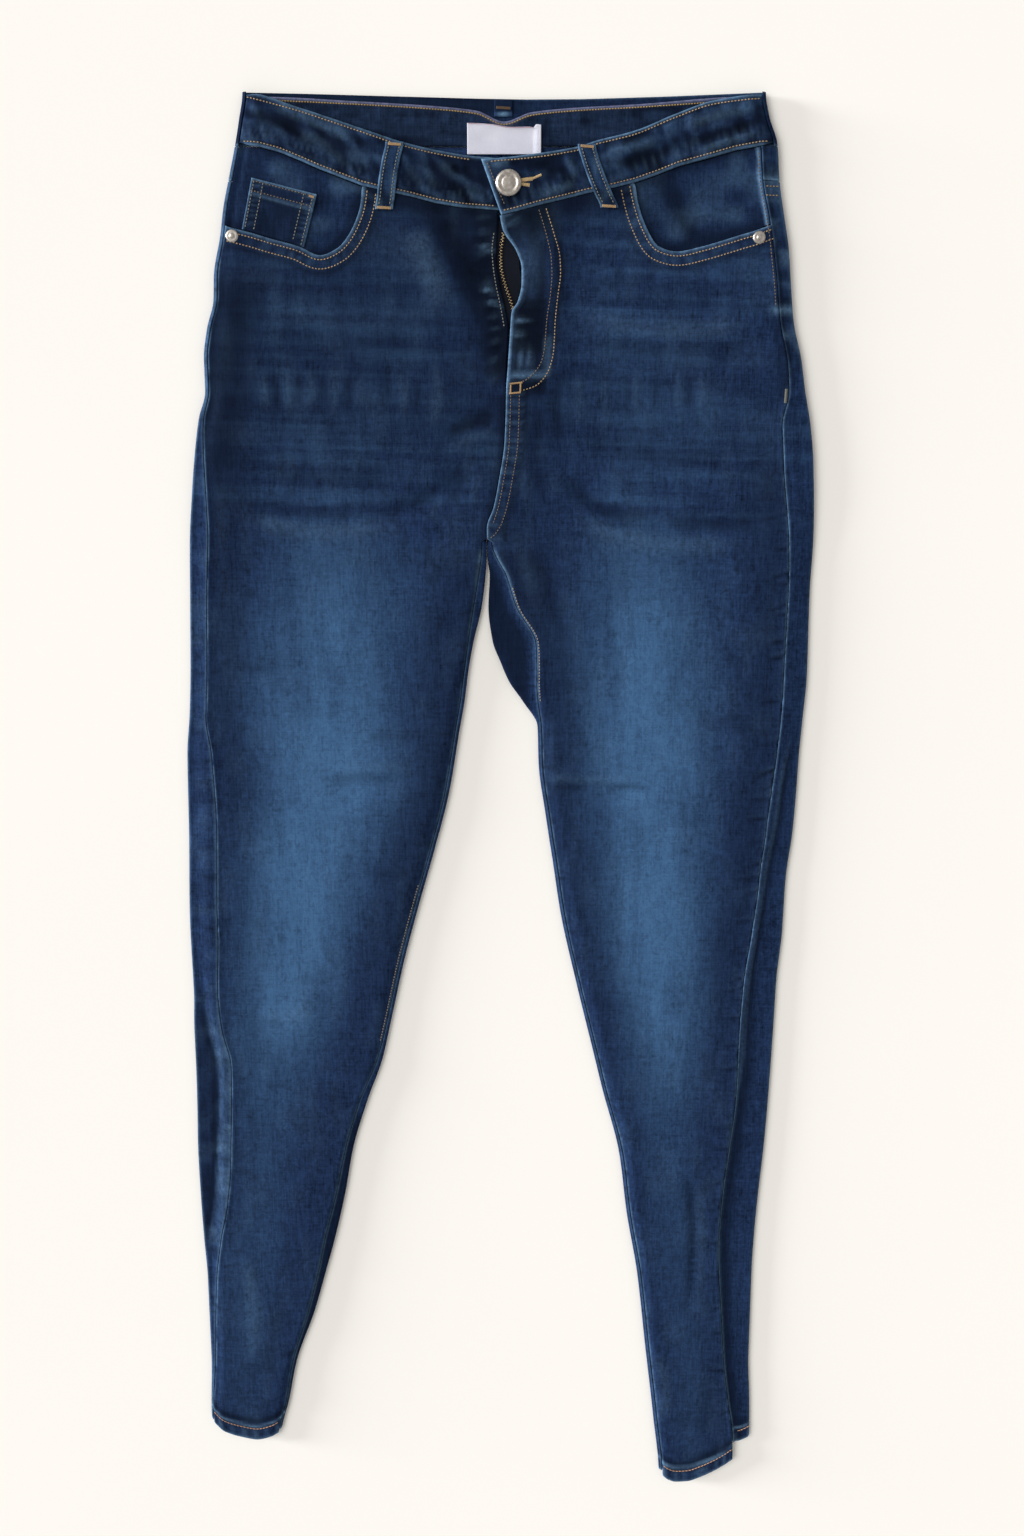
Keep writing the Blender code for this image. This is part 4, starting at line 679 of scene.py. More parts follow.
class Look:
    """A material under construction."""

    def __init__(self, name):
        self.made = bpy.data.materials.new(name)
        self.made.use_nodes = True
        self.tree = self.made.node_tree
        self.at = self.add("ShaderNodeTexCoord", output=3)

    def fill(self, sockets, inputs):
        """Links or sets sockets by name or number."""
        for key, value in inputs.items():
            if isinstance(value, Number):
                self.tree.links.new(value.socket, sockets[key])
            elif sockets[key].type == "RGBA":
                sockets[key].default_value = (*value, 1.0)
            else:
                sockets[key].default_value = value

    def add(self, kind, settings=None, inputs=None, output=0):
        """Adds a node: its settings first, then its sockets; gives back one of its outputs."""
        node = self.tree.nodes.new(kind)
        for key, value in (settings or {}).items():
            setattr(node, key, value)
        self.fill(node.inputs, inputs or {})
        return Number(self, node.outputs[output])

    def noise(self, scale, detail=3.0, roughness=0.55, stretch=None, distortion=0.0):
        at = self.at
        if stretch:
            at = self.add("ShaderNodeVectorMath", {"operation": "MULTIPLY"}, {0: at, 1: stretch})
        return self.add("ShaderNodeTexNoise", {}, {"Vector": at, "Scale": scale, "Detail": detail,
                                                   "Roughness": roughness, "Distortion": distortion})

    def place(self):
        """How far across and along the jeans."""
        across = self.add("ShaderNodeSeparateXYZ", {}, {0: self.at})
        return across, Number(self, across.socket.node.outputs[1])

    def blend(self, factor, first, second, way="MIX"):
        return self.add("ShaderNodeMix", {"data_type": "RGBA", "blend_type": way},
                        {0: factor, 6: first, 7: second}, 2)

    def mark(self, label):
        return self.add("ShaderNodeAttribute", {"attribute_name": label}, {}, 2)

    def finish(self, colour, roughness, height=None, relief=0.0002, strength=0.5, metallic=0.0, sheen=0.0,
               gloss=0.5):
        shader = self.tree.nodes["Principled BSDF"].inputs
        self.fill(shader, {"Base Color": colour, "Roughness": roughness, "Metallic": metallic,
                           "Sheen Weight": sheen, "Specular IOR Level": gloss})
        if height:
            bumps = {"Strength": strength, "Distance": relief, "Height": height}
            self.fill(shader, {"Normal": self.add("ShaderNodeBump", {}, bumps)})
        return self.made


def srgb(colours):
    """Colours from the 0 to 255 values of a screen."""
    return [tuple((v / 255 / 12.92) if v <= 10 else ((v / 255 + 0.055) / 1.055) ** 2.4 for v in colour)
            for colour in colours]


def denim_look(name, *colours, twill=0.5):
    """Indigo twill: pale slubs along the warp, mottling, washed middles, rubbed ridges, and dark dye mixed
    with painted shade in valleys and under edges.
    """
    look = Look(name)
    deep, body, faded, worn = srgb(colours)
    across, along = look.place()
    ribs = (across * 5200.0 + along * 6900.0 + look.noise(260, 2) * 2.2).sine() * 0.5 + 0.5
    slub = look.noise(1, 3, 0.6, (900, 70, 400))
    streak = slub - 0.5
    pick = look.noise(1, 2, 0.5, (60, 1100, 400)) - 0.5
    mottle = look.noise(48, 4, 0.6) - 0.5
    fleck = look.noise(1, 3, 0.65, (420, 240, 400)) - 0.5
    worm = look.noise(200, 2, 0.6, distortion=1.5) - 0.5
    grain = look.noise(1500, 2, 0.7)
    tone = (mottle * 0.45 + streak * 1.25 + pick * 0.6 + fleck * 0.7 + worm * 0.8 + 0.55).clamped()
    fade = (look.mark("fade") * (streak * 0.8 + pick * 0.4 + fleck * 0.5 + worm * 0.7 + 0.9)).clamped()
    wear = (look.mark("wear") * (grain * 0.3 + fleck * 1.0 + worm * 0.9 + 0.65)).clamped()
    dye_and_painted_shade = look.mark("dye_and_shade") * (mottle * 0.5 + worm * 0.5 + 0.95)
    colour = look.blend(tone, deep, body)
    colour = look.blend(fade, colour, faded)
    # This mark darkens towards the deep colour, and past 1 towards almost black: partly dark dye, partly
    # painted shade in valleys, creases, folds and under edges.
    colour = look.blend(dye_and_painted_shade.clamped() * 0.85, colour, deep)
    colour = look.blend((dye_and_painted_shade - 1.0).clamped() * 0.8, colour, ALMOST_BLACK)
    colour = look.blend(wear * 0.8, colour, worn)
    shade = 1.0 - (1.0 - ribs) * (0.2 * twill) + (grain - 0.5) * 0.16 + worm * 0.3
    grey = look.add("ShaderNodeCombineColor", {}, {0: shade, 1: shade, 2: shade})
    height = ribs * 0.6 + slub * 0.5 + grain * 0.3
    return look.finish(look.blend(1.0, colour, grey, "MULTIPLY"), 0.86 + grain * 0.1 - wear * 0.08, height,
                       0.00022, 0.55, gloss=0.04)


def thread_look(name, *colours):
    """Twisted sewing thread."""
    look = Look(name)
    pale, deep = srgb(colours)
    twist = look.noise(2600, 2)
    colour = look.blend((twist * 0.7 + look.noise(90, 2) * 0.6 - 0.15).clamped(), deep, pale)
    return look.finish(colour, 0.55 + twist * 0.2, twist, 0.0001, sheen=0.05, gloss=0.25)


def woven_look(name, *colours, pitch=0.5):
    """Plain woven cloth."""
    look = Look(name)
    pale, deep = srgb(colours)
    across, along = look.place()
    rate = 2 * math.pi / (pitch * MM)
    check = (across * rate).sine() * (along * rate).sine() * 0.5 + 0.5
    lint = look.noise(1100, 2)
    colour = look.blend((look.noise(70) * 0.6 + check * 0.25 + lint * 0.35 - 0.1).clamped(), deep, pale)
    return look.finish(colour, 0.8 + lint * 0.12, check + lint * 0.4, 0.00012, sheen=0.05, gloss=0.15)


def metal_look(name, *colours, roughness):
    """Cast metal, duller and darker in patches."""
    look = Look(name)
    bright, dull = srgb(colours)
    patch = look.noise(420)
    scratch = look.noise(1, 2, stretch=(3000, 500, 800))
    colour = look.blend((patch * 1.3 - 0.25).clamped(), dull, bright)
    roughness = roughness + patch * 0.18 + scratch * 0.06
    return look.finish(colour, roughness, scratch * 0.4 + patch, 0.00008, 0.35, metallic=1.0)


# Near black, for the darkest dye and the deepest painted shade.
ALMOST_BLACK = (0.001, 0.0016, 0.0035)
DENIM = denim_look("denim_outside", (12, 21, 39), (39, 61, 101), (66, 102, 143), (110, 147, 180))
INSIDE = denim_look("denim_inside_face", (6, 13, 28), (40, 60, 92), (58, 80, 116), (126, 128, 160),
                    twill=0.3)
GOLD = thread_look("gold_thread", (180, 154, 116), (98, 82, 66))
FADED_GOLD = thread_look("faded_gold_thread", (118, 100, 80), (64, 58, 54))
OLIVE = thread_look("olive_gold_thread", (172, 146, 90), (98, 80, 48))
CREAM = thread_look("buttonhole_thread", (214, 190, 146), (160, 132, 92))
ROSE = thread_look("label_edge", (196, 158, 172), (150, 108, 128))
BROWN = thread_look("loop_tack", (104, 82, 58), (58, 46, 34))
ORANGE = thread_look("tack_thread", (198, 166, 122), (126, 98, 70))
BEIGE = thread_look("beige_thread", (160, 146, 128), (98, 92, 86))
PINK = thread_look("tan_hem_thread", (196, 156, 130), (132, 96, 74))
GREY = thread_look("grey_thread", (126, 124, 112), (72, 76, 76))
LABEL = woven_look("label_weave", (222, 223, 234), (188, 190, 206), pitch=0.45)
COTTON = woven_look("pocketing", (214, 208, 194), (184, 176, 160))
TAPE = woven_look("zip_tape_weave", (22, 27, 42), (10, 13, 22))
BRASS = metal_look("antique_brass", (205, 184, 145), (120, 102, 74), roughness=0.4)
BRONZE = metal_look("dark_bronze", (74, 66, 56), (40, 36, 32), roughness=0.42)
PEWTER = metal_look("pale_pewter", (226, 220, 212), (150, 144, 138), roughness=0.24)


# ---- meshes

STRIP_STEPS = (0.0, 0.15, 0.4, 0.8)
EDGE_STEPS = STRIP_STEPS + (1.4, 2.2)


def spread(length, step, fine=EDGE_STEPS):
    """Shares of a length, close together at both ends."""
    lines = [edge for edge in fine if edge < length / 2.5]
    last = lines[-1]
    count = max(2, int(round((length - 2 * last) / step)))
    middle = [last + (length - 2 * last) * k / count for k in range(1, count)]
    return np.unique(lines + middle + [length - edge for edge in lines]) / length


def steps(points, axis):
    """Lengths between neighbours of a grid of points."""
    return np.linalg.norm(np.diff(points, axis=axis), axis=-1)


def border_distance(points):
    """Distance along the cloth from each point of a grid to the nearest border."""
    across = np.pad(np.cumsum(steps(points, 1), axis=1), ((0, 0), (1, 0)))
    along = np.pad(np.cumsum(steps(points, 0), axis=0), ((1, 0), (0, 0)))
    return np.minimum(np.minimum(across, across[:, -1:] - across), np.minimum(along, along[-1:] - along))


def grid_faces(rows, columns, first, flip):
    i, j = np.meshgrid(np.arange(rows - 1), np.arange(columns - 1), indexing="ij")
    a = (first + i * columns + j).ravel()
    quads = np.column_stack((a, a + 1, a + columns + 1, a + columns))
    return quads[:, ::-1] if flip else quads


def placed(mesh, look, nodes):
    """Makes a piece of a mesh: it rides on the jeans and stands for the named solids."""
    mesh.materials.append(look)
    made = bpy.data.objects.new(mesh.name, mesh)
    bpy.context.scene.collection.objects.link(made)
    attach(made, "root")
    if nodes:
        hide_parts(*nodes)
    return made


def cloth(node, outer, inner, wear=0.0, dye_and_shade=0.0, fade=None, on="floor", look=DENIM, slot="denim",
          deepest=1.0):
    """A closed thin wall between two grids of points (x, y, z), with softened edges."""
    rows, columns = outer[0].shape
    outer, inner = np.stack(outer, axis=-1), np.stack(inner, axis=-1)
    wall = np.linalg.norm(outer - inner, axis=-1)
    half = wall / 2
    depth = half * (1 - np.sqrt(unit(1 - (1 - unit(border_distance(outer) / half)) ** 2)))
    pull = ((outer - inner) / wall[..., None]) * (0.94 * depth)[..., None]
    outer, inner = outer - pull, inner + pull
    points = np.concatenate((outer.reshape(-1, 3), inner.reshape(-1, 3)))
    points[:, 1] -= MIDDLE_Y
    points *= MM
    total = rows * columns
    faces = [grid_faces(rows, columns, 0, False), grid_faces(rows, columns, total, True)]
    ring = np.concatenate((np.arange(columns), np.arange(1, rows) * columns + columns - 1,
                           (rows - 1) * columns + np.arange(columns - 2, -1, -1),
                           np.arange(rows - 2, 0, -1) * columns))
    after = np.roll(ring, -1)
    faces.append(np.column_stack((ring, ring + total, after + total, after)))
    quads = np.concatenate(faces)
    # the outer grid faces away from the inner one
    middle = (rows // 2) * columns + columns // 2
    a, b, c = points[middle], points[middle + 1], points[middle + columns]
    if np.dot(np.cross(b - a, c - a), points[middle] - points[middle + total]) < 0:
        quads = quads[:, ::-1]
    mesh = bpy.data.meshes.new("cloth_" + node)
    mesh.from_pydata(points.tolist(), [], quads.tolist())
    mesh.shade_smooth()
    if fade is None:
        fade = fade_at(outer[..., 0], outer[..., 1])
    for label, values in (("wear", unit(wear)), ("dye_and_shade", np.clip(dye_and_shade, 0, deepest)), ("fade", fade)):
        values = np.broadcast_to(values, (rows, columns)).ravel().astype(np.float32)
        layer = mesh.attributes.new(label, "FLOAT", "POINT")
        layer.data.foreach_set("value", np.concatenate((values, values)))
    made = placed(mesh, look, (node,))
    sheet = (outer + inner) / 2


def laid(node, x, y, z, wear=0.0, dye_and_shade=0.0, fade=None, on="floor", wall=WALL, **finish):
    """Cloth of even thickness below its visible face."""
    cloth(node, (x, y, z), (x, y, z - wall), wear, dye_and_shade, fade, on, **finish)


def plain_piece(name, points, faces, look, nodes, smooth_shade=True):
    """A closed piece that isn't cloth."""
    points = np.array(points, float)
    points[:, 1] -= MIDDLE_Y
    mesh = bpy.data.meshes.new(name)
    mesh.from_pydata((points * MM).tolist(), [], [list(map(int, face)) for face in faces])
    if smooth_shade:
        mesh.shade_smooth()
        mesh.set_sharp_from_angle(angle=math.radians(45))
    return placed(mesh, look, nodes)


# ---- front panels


def front_grid(side):
    """X and Y of a fine grid over a front panel, from the top edge down to the hem."""
    shares = spread(170, 2.5)
    table = top_edge(side)
    table_shares, table_x, table_y = np.array(table, float).T
    table_x[0] = front_edges(side, table_y[0])[0]
    table_x[-1] = front_edges(side, table_y[-1])[1]
    top_x = curve(np.column_stack((table_shares, table_x)), shares)
    top_y = curve(np.column_stack((table_shares, table_y)), shares) - SEAM
    rows_x, rows_y = [], []
    for down in spread(60, 2.4):
        y = mix(top_y, STRAIGHT_ROW, down)
        outer, inner = front_edges(side, y)
        x = mix(top_x, mix(outer, inner, shares), down)
        to_outer, to_inner = outer[0] - x[0], inner[-1] - x[-1]
        x = x + (1 - smooth(shares / 0.06)) * to_outer + ramp(shares, 0.94, 0.06) * to_inner
        rows_x.append(x)
        rows_y.append(y)
    for y in np.arange(STRAIGHT_ROW - 2.5, LAST_ROW, -2.5):
        outer, inner = front_edges(side, y)
        rows_x.append(mix(outer, inner, shares))
        rows_y.append(np.full(len(shares), y))
    end = LAST_ROW + 0 * shares
    for _ in range(6):
        outer, inner = front_edges(side, end)
        end = curve(HEM[side], mix(outer, inner, shares))
    for down in spread(60, 2.0):
        y = mix(LAST_ROW, end, down)
        outer, inner = front_edges(side, y)
        rows_x.append(mix(outer, inner, shares))
        rows_y.append(y)
    return np.array(rows_x), np.array(rows_y)


def make_front(side):
    x, y = front_grid(side)
    relief, wear, dye_and_shade = front_marks(side, x, y)
    wall = mix(WALL, HEM_WALL, smooth((HEM_DEPTH - hem_height(HEM, side, x, y)) / 0.6))
    laid("front_" + side, x, y, top_height(side, x, y) + relief, wear, dye_and_shade, None, "cloth_back_" + side,
         wall,
         deepest=BLACKEST)


# ---- back panels

def centre_back(y):
    return mix(-4.0, 9.0, (np.asarray(y, float) - 240) / (BACK_TOP - 240))


def path_columns(seat=False):
    """Stations round the tube, from the outer seam over the edge and underside to the inner seam."""
    edge = [k / 6 for k in range(7)]
    tail = [1.0] if seat else spread(16, 1.5, STRIP_STEPS)[4:]
    stretches = (spread(18, 1.4, STRIP_STEPS)[:-3], edge, [k / 22 for k in range(1, 22)], edge, tail)
    return np.array([(part, share) for part, shares in enumerate(stretches) for share in shares])


def back_points(side, parts, shares, y, wall, curl, seam=None):
    """Outer and inner points of a row of the back, as in the solids: y has one value for each station."""
    direction = inward(side)
    outline, radius, floor = curve(OUTER[side], y), edge_radius(y), seat_lift(y)
    seam_inset = curve(OUTER[side], y, 2) if seam is None else seam
    leg_seam = curve(INNER[side], y, 2)
    turned = math.pi * radius
    tail = leg_seam - radius
    if curl == 0:
        width = (centre_back(y) - outline) * direction - SEAM / 2
        bend = radius
        bend_start = width - turned - tail
    else:
        width = (curve(INNER[side], y) - outline) * direction
        bend = radius * (1.6 - 0.6 * curl)
        bend_start = width - bend
    # outer strip
    inset = mix(seam_inset - SEAM / 2, radius, shares)
    z = strip_height(side, outline + direction * inset, y, seam_inset - inset)
    found = [(inset, z, inset, z - wall)]
    # outer edge
    angle = math.pi * (0.5 - shares)
    within = radius - wall
    found.append((radius - radius * np.cos(angle), floor + radius + radius * np.sin(angle),
                  radius - within * np.cos(angle), floor + radius + within * np.sin(angle)))
    # underside
    inset = mix(radius, bend_start, shares)
    found.append((inset, floor, inset, floor + wall))
    # inner edge
    if curl == 0:
        inset = bend_start + turned * shares
        found.append((inset, floor, inset, floor + wall))
        inset = bend_start + turned + tail * shares
        found.append((inset, floor, inset, floor + wall))
    else:
        angle = curl * math.pi * shares
        edge, rise = bend_start + bend * np.sin(angle), floor + bend * (1 - np.cos(angle))
        found.append((edge, rise, edge - wall * np.sin(angle), rise + wall * np.cos(angle)))
        if curl < 1:
            angle = curl * math.pi
            rise = floor + bend + 0.2 * tail * shares
            found.append((width, rise, width - wall * math.sin(angle), rise + wall * math.cos(angle)))
        else:
            inset = mix(width - radius, width - leg_seam + SEAM / 2, shares)
            z = strip_height(side, outline + direction * inset, y, leg_seam - (width - inset), inner=True)
            found.append((inset, z, inset, z - wall))
    outer_inset, outer_z, inner_inset, inner_z = (
        np.choose(parts, [np.broadcast_to(item[k], parts.shape) for item in found]) for k in range(4))
    return (outline + direction * outer_inset, y, outer_z), (outline + direction * inner_inset, y, inner_z)


RIGHT_FOLD = ((110, 227), (89, 224), (57, 219), (28, 216), (-12, 210), (-47, 206), (-88, 201), (-130, 198),
              (-162, 197), (-192, 194), (-223, 190), (-267, 185), (-308, 182), (-383, 185), (-417, 188),
              (-448, 191), (-487, 196), (-503, 198))


def strip_height(side, x, y, from_seam, inner=False):
    """Top of the back panel where it shows beyond the front."""
    room = smooth((x - curve(OUTER[side], y)) * inward(side) / 3) if not inner else 1.0
    relief = 0.30 * bell(from_seam - 1.0, 1.2)
    if inner:
        relief -= 0.3 * nips(INNER_NIPS[side], y, from_seam, 29)
    elif side == "left":
        relief -= 0.45 * nips(LEFT_NIPS, y, from_seam, 27, (14, 22), (1.2, 2.4), (-0.1, 0.3))
        relief += 0.2 * noise(x, y, 10, 16, 22)
    else:
        groove = x - curve(RIGHT_FOLD, y)
        relief -= 0.95 * bell(groove - 2.2, 2.6) * ramp(y, 100, -30)
        relief -= 0.3 * bell(from_seam - 4, 2.5) * ramp(y, -30, 60)
    return top_height(side, x, y) + relief * room


def strip_marks(side, x, y, z):
    """Wear, and dark dye with painted shade and shadow, of the back panel, mostly on its strips beside the
    fronts.
    """
    direction = inward(side)
    outer, inner = front_edges(side, y)
    from_outer, from_inner = (outer - x) * direction, (x - inner) * direction
    on_top = smooth((z - seat_lift(y) - 2.0) / 1.0)
    on_outer = on_top * ramp(from_outer, -1, 1)
    on_inner = on_top * ramp(from_inner, -1, 1) * ramp(y, 236, -8)
    away_from_edge = (x - curve(OUTER[side], y)) * direction
    wear = on_outer * (0.45 * bell(from_outer - 0.5, 0.8) + 0.35 * bell(away_from_edge, 1.4))
    if side == "left":
        crease = nips(LEFT_NIPS, y, from_outer, 27, (14, 22), (1.2, 2.4), (-0.1, 0.3))
        folded = ramp(y, -105, -40) * ramp(y, -340, 30)
        flat = smooth((12.5 + 1.6 * noise(y, 0 * y, 22, 50, 25) - from_outer) / 2.5)
        across = noise(x, y, 11, 9, 23)
        wear += on_outer * (folded * flat * (0.09 + 0.16 * unit(across)) + 0.08 * unit(across))
        # Crease valleys, the part beyond the fold and the fold line get painted shade; the rest is uneven
        # dye.
        dye_and_shade = on_outer * (0.7 * crease + 0.5 * folded * (1 - flat) + 0.1 + 0.3 * unit(-across))
        dye_and_shade += on_outer * folded * 0.7 * bell(from_outer - 14, 1.6)
    else:
        groove = x - curve(RIGHT_FOLD, y)
        lower = ramp(y, 100, -40)
        width = mix(2.6, 6.0, ramp(y, -60, -200))
        # Painted shadow in the groove beside the front's raised edge.
        dye_and_shade = on_outer * (0.95 * lower * bell(groove - 0.45 * width, width) * ramp(groove, -1.5, 2) + 0.02)
        wear += on_outer * lower * 0.2 * bell(groove + 2, 2) * smooth(from_outer / 2)
        seat = ramp(y, 350, 12)
        patch = noise(x, y, 12, 7, 26)
        wear = wear * (1 - 0.7 * seat) + on_outer * seat * (0.3 * unit(patch) + 0.6 * bell(y - 400, 2.6)
                                                            + 0.4 * bell(y - 487,
                                                                         1.6) + 0.3 * bell(away_from_edge,
                                                                                           1.6))
        # Uneven dye on the seat, painted shade above the light crease at 400 and painted shadow of the
        # front's edge; darker at the outline lower down.
        dye_and_shade += on_outer * (seat * (0.25 + 0.5 * unit(-patch) + 0.5 * bell(y - 407, 3)
                                          + 0.6 * bell(from_outer - 2, 1.5)) + 0.45 * ramp(y, 300, -60)
                                  * ramp(y, 150, 60) * bell(away_from_edge - 1, 3))
    crease = nips(INNER_NIPS[side], y, from_inner, 29)
    wear += on_inner * 0.3 * bell(from_inner - 0.6, 0.9)
    shadow = ramp(y, -200, -25) if side == "left" else ramp(from_inner, 4, 6)
    dye_and_shade += on_inner * (0.5 * crease + 0.9 * shadow)
    return unit(wear), unit(dye_and_shade)


def yoke_seam(side, x):
    start = curve(OUTER[side], YOKE_SIDE)
    share = (x - start) / (centre_back(YOKE_CENTRE) - start)
    return mix(YOKE_SIDE, YOKE_CENTRE, np.maximum(0.0, share))


def seat_row(side, parts, shares, low_share, side_y, limit_y):
    """One row of the seat between the yoke seam and a straight line at another height."""
    y = np.full(len(parts), float(side_y))
    under = parts > 1
    for _ in range(3):
        x = back_points(side, parts, shares, y, WALL, 0)[0][0]
        y = np.where(under, mix(yoke_seam(side, x), limit_y, low_share), side_y)
    return y


def stack(rows):
    """Grids of x, y and z of the outer and inner faces from rows of points."""
    return tuple(tuple(np.array([row[face][k] for row in rows]) for k in range(3)) for face in (0, 1))


def make_back(side):
    parts, shares = path_columns().T
    parts = parts.astype(int)
    rows = []
    for side_y in YOKE_SIDE - (YOKE_SIDE - STRAIGHT_ROW) * spread(86, 2.6):
        down = (YOKE_SIDE - side_y) / (YOKE_SIDE - STRAIGHT_ROW)
        y = seat_row(side, parts, shares, down, side_y, STRAIGHT_ROW)
        rows.append(back_points(side, parts, shares, y, WALL, 0))
    for y in (*np.arange(STRAIGHT_ROW - 2.5, CROTCH + 1, -2.5), CROTCH + 0.6, CROTCH, CROTCH - 0.6,
              *np.arange(236, LAST_ROW, -2.5)):
        curl = 0 if y > CROTCH + 0.3 else 1 if y < CROTCH - 0.3 else 0.5
        rows.append(back_points(side, parts, shares, np.full(len(parts), y), WALL, curl))
    end = np.full(len(parts), LAST_ROW)
    for _ in range(6):
        end = curve(BACK_HEM[side], back_points(side, parts, shares, end, WALL, 1)[0][0])
    for down in spread(60, 2.0):
        y = mix(LAST_ROW, end, down)
        wall = mix(WALL, BACK_HEM_WALL, smooth((HEM_DEPTH - (y - end)) / 0.6))
        rows.append(back_points(side, parts, shares, y, wall, 1))
    outer, inner = stack(rows)
    wear, dye_and_shade = strip_marks(side, *outer)
    hem = hem_marks(outer[0], hem_height(BACK_HEM, side, outer[0], outer[1]))
    cloth("back_" + side, outer, inner, wear + hem[1], dye_and_shade + hem[2])


def make_yoke(side):
    parts, shares = path_columns(seat=True).T
    parts = parts.astype(int)
    rows = []
    height = WAIST_SEAM_BACK - YOKE_SIDE
    for up in spread(30, 2.2):
        y = seat_row(side, parts, shares, up, YOKE_SIDE + height * up, WAIST_SEAM_BACK)
        y = y + SEAM * (1 - 2 * up)
        rows.append(back_points(side, parts, shares, y, WALL, 0))
    outer, inner = stack(rows)
    wear, dye_and_shade = strip_marks(side, *outer)
    from_side = outer[1] - yoke_seam(side, outer[0])
    wear, dye_and_shade = wear + 0.6 * bell(from_side, 1.3), dye_and_shade + 0.5 * bell(from_side - 6, 4)
    cloth("yoke_" + side, outer, inner, wear, dye_and_shade)


def grid_sunk(face):
    """The same points with the upper edge of the band sagging."""
    x, y, z = face
    return x, y - line(TOP_SAG, x) * smooth((y - 520) / (BACK_TOP - 520)), z


def make_waistband_back():
    parts, shares = path_columns().T
    keep = parts < 3
    parts, shares = parts[keep].astype(int), shares[keep]
    rows = []
    for y in mix(WAIST_SEAM_BACK, BACK_TOP, spread(35, 1.8)):
        heights = np.full(len(parts), y)
        left = back_points("left", parts, shares, heights, WALL, 0, BAND_SIDE_INSET)
        right = back_points("right", parts, shares, heights, WALL, 0, BAND_SIDE_INSET)
        rows.append(tuple(tuple(np.concatenate((left[face][k], right[face][k][::-1])) for k in range(3))
                          for face in (0, 1)))
    outer, inner = (grid_sunk(face) for face in stack(rows))
    x, y, z = outer
    sag = line(TOP_SAG, x)
    wear = 0.5 * bell(y - WAIST_SEAM_BACK, 1.3) + 0.3 * bell(y - BACK_TOP + sag, 0.8) * ramp(x, 20, 8)
    # Painted shade: the inside of the fold under the upper edge and the underside near it are darkened
    # nearly to the deep colour.
    inside = ramp(z, 4, 1) * (1 - ramp(x, 19, 8) * 0.55)
    under = ramp(z, 3.2, -0.5) * ramp(y, 528, 4)
    dye_and_shade = 0.3 + 0.7 * np.maximum(inside, under * (1 - ramp(x, 19, 8) * 0.6))
    cloth("waistband_back", outer, inner, wear, dye_and_shade)


# ---- waistband and facing

def band_height(side, x, y):
    """Outer face of the front waistband, whose right end lies over the left one."""
    held = np.maximum(y, 470)
    level = top_height(side, x, held) - fly_height(side, x, held) + 0.4
    if side == "left":
        return level - 0.9 * ramp(x, -42, 30)
    return level + 1.8 * ramp(x, 72, -34)


def band_edges(side, x):
    return line(WAIST_SEAM[side], x), curve(BAND_TOP[side], x)


def band_marks(side, x, y):
    low, high = band_edges(side, x)
    from_low, from_high = y - low, high - y
    seed = 31 if side == "left" else 35
    folds = fold_sum(BAND_FOLDS, x, y)
    wave = puckers(x, from_low, 5.5, 0.25, seed)
    top_wave = puckers(x, from_high, 11, -0.3, seed + 2)
    relief = 0.35 * bell(from_low - 1.6, 1.5) + 0.35 * bell(from_high - 1.4, 1.4) + folds
    relief += 0.25 * wave * bell(from_low - 8, 5) + 0.25 * top_wave * bell(from_high - 7, 5)
    relief += -0.25 * bell(from_low - 3.8, 1.2) - 0.25 * bell(from_high - 3.6, 1.2)
    lean = 0.45 if side == "left" else -0.35
    blotch = 0.8 * noise(x, y + lean * x, 16, 6, seed + 4) + 0.7 * noise(x + 0.4 * y, y, 4.5, 8, seed + 5)
    relief += 0.45 * blotch
    wear = 0.6 * bell(from_low - 0.6, 1.1) + 0.7 * bell(from_high - 0.3, 1.2)
    wear += 0.18 * unit(wave) * bell(from_low - 9, 5) + 0.36 * unit(folds)
    wear += 0.14 * unit(blotch)
    dye_and_shade = (0.68 if side == "left" else 0.55) + 0.9 * unit(-blotch) - 0.3 * unit(blotch)
    # Pucker and fold valleys and the groove by the lower stitch are darkened, dye and painted shade; darker
    # towards the middle.
    dye_and_shade += 0.22 * unit(-wave) * bell(from_low - 8, 6)
    dye_and_shade += 0.9 * unit(-folds) + 0.5 * bell(from_low - 3.4, 0.8) + 0.3 * smooth((60 - np.abs(x)) / 30)
    end = x - (-7 + (500 - y) * 0.33) if side == "right" else 99.0 + 0 * x
    wear += 1.0 * bell(end - 0.6, 1.9)
    dye_and_shade = dye_and_shade * (1 - 0.8 * bell(end - 0.6, 2.2))
    relief += 0.3 * bell(end - 1, 1.5)
    return relief, wear, dye_and_shade


def band_top_face(side, x, y):
    x, y = np.broadcast_arrays(np.asarray(x, float), np.asarray(y, float))
    return band_height(side, x, y) + band_marks(side, x, y)[0]


def make_waistband_front(side):
    seam = np.array(WAIST_SEAM[side], float)
    top_ends = (BAND_TOP[side][0][0], BAND_TOP[side][-1][0])
    across = spread(abs(seam[-1, 0] - seam[0, 0]), 2.0)
    up = spread(36, 1.5)[:, None]
    low_x = mix(seam[0, 0], seam[-1, 0], across)
    low_y = line(WAIST_SEAM[side], low_x)
    top_x = mix(top_ends[0], top_ends[1], across)
    x = mix(low_x, top_x, up)
    y = mix(low_y, curve(BAND_TOP[side], top_x), up)
    side_y = mix(511, 542, up)
    side_x = curve(OUTER[side], side_y) + inward(side) * (BAND_SIDE_INSET + SEAM / 2)
    near = 1 - smooth(across / 0.05)
    x, y = x + near * (side_x - x[:, :1]), y + near * (side_y - y[:, :1])
    relief, wear, dye_and_shade = band_marks(side, x, y)
    laid("waistband_front_" + side, x, y, band_height(side, x, y) + relief, wear, dye_and_shade, None,
         "cloth_waistband_back", BAND_WALL, deepest=BLACKEST)


FACING_TOP = SEAT_LIFT + WALL + SEAM + WALL


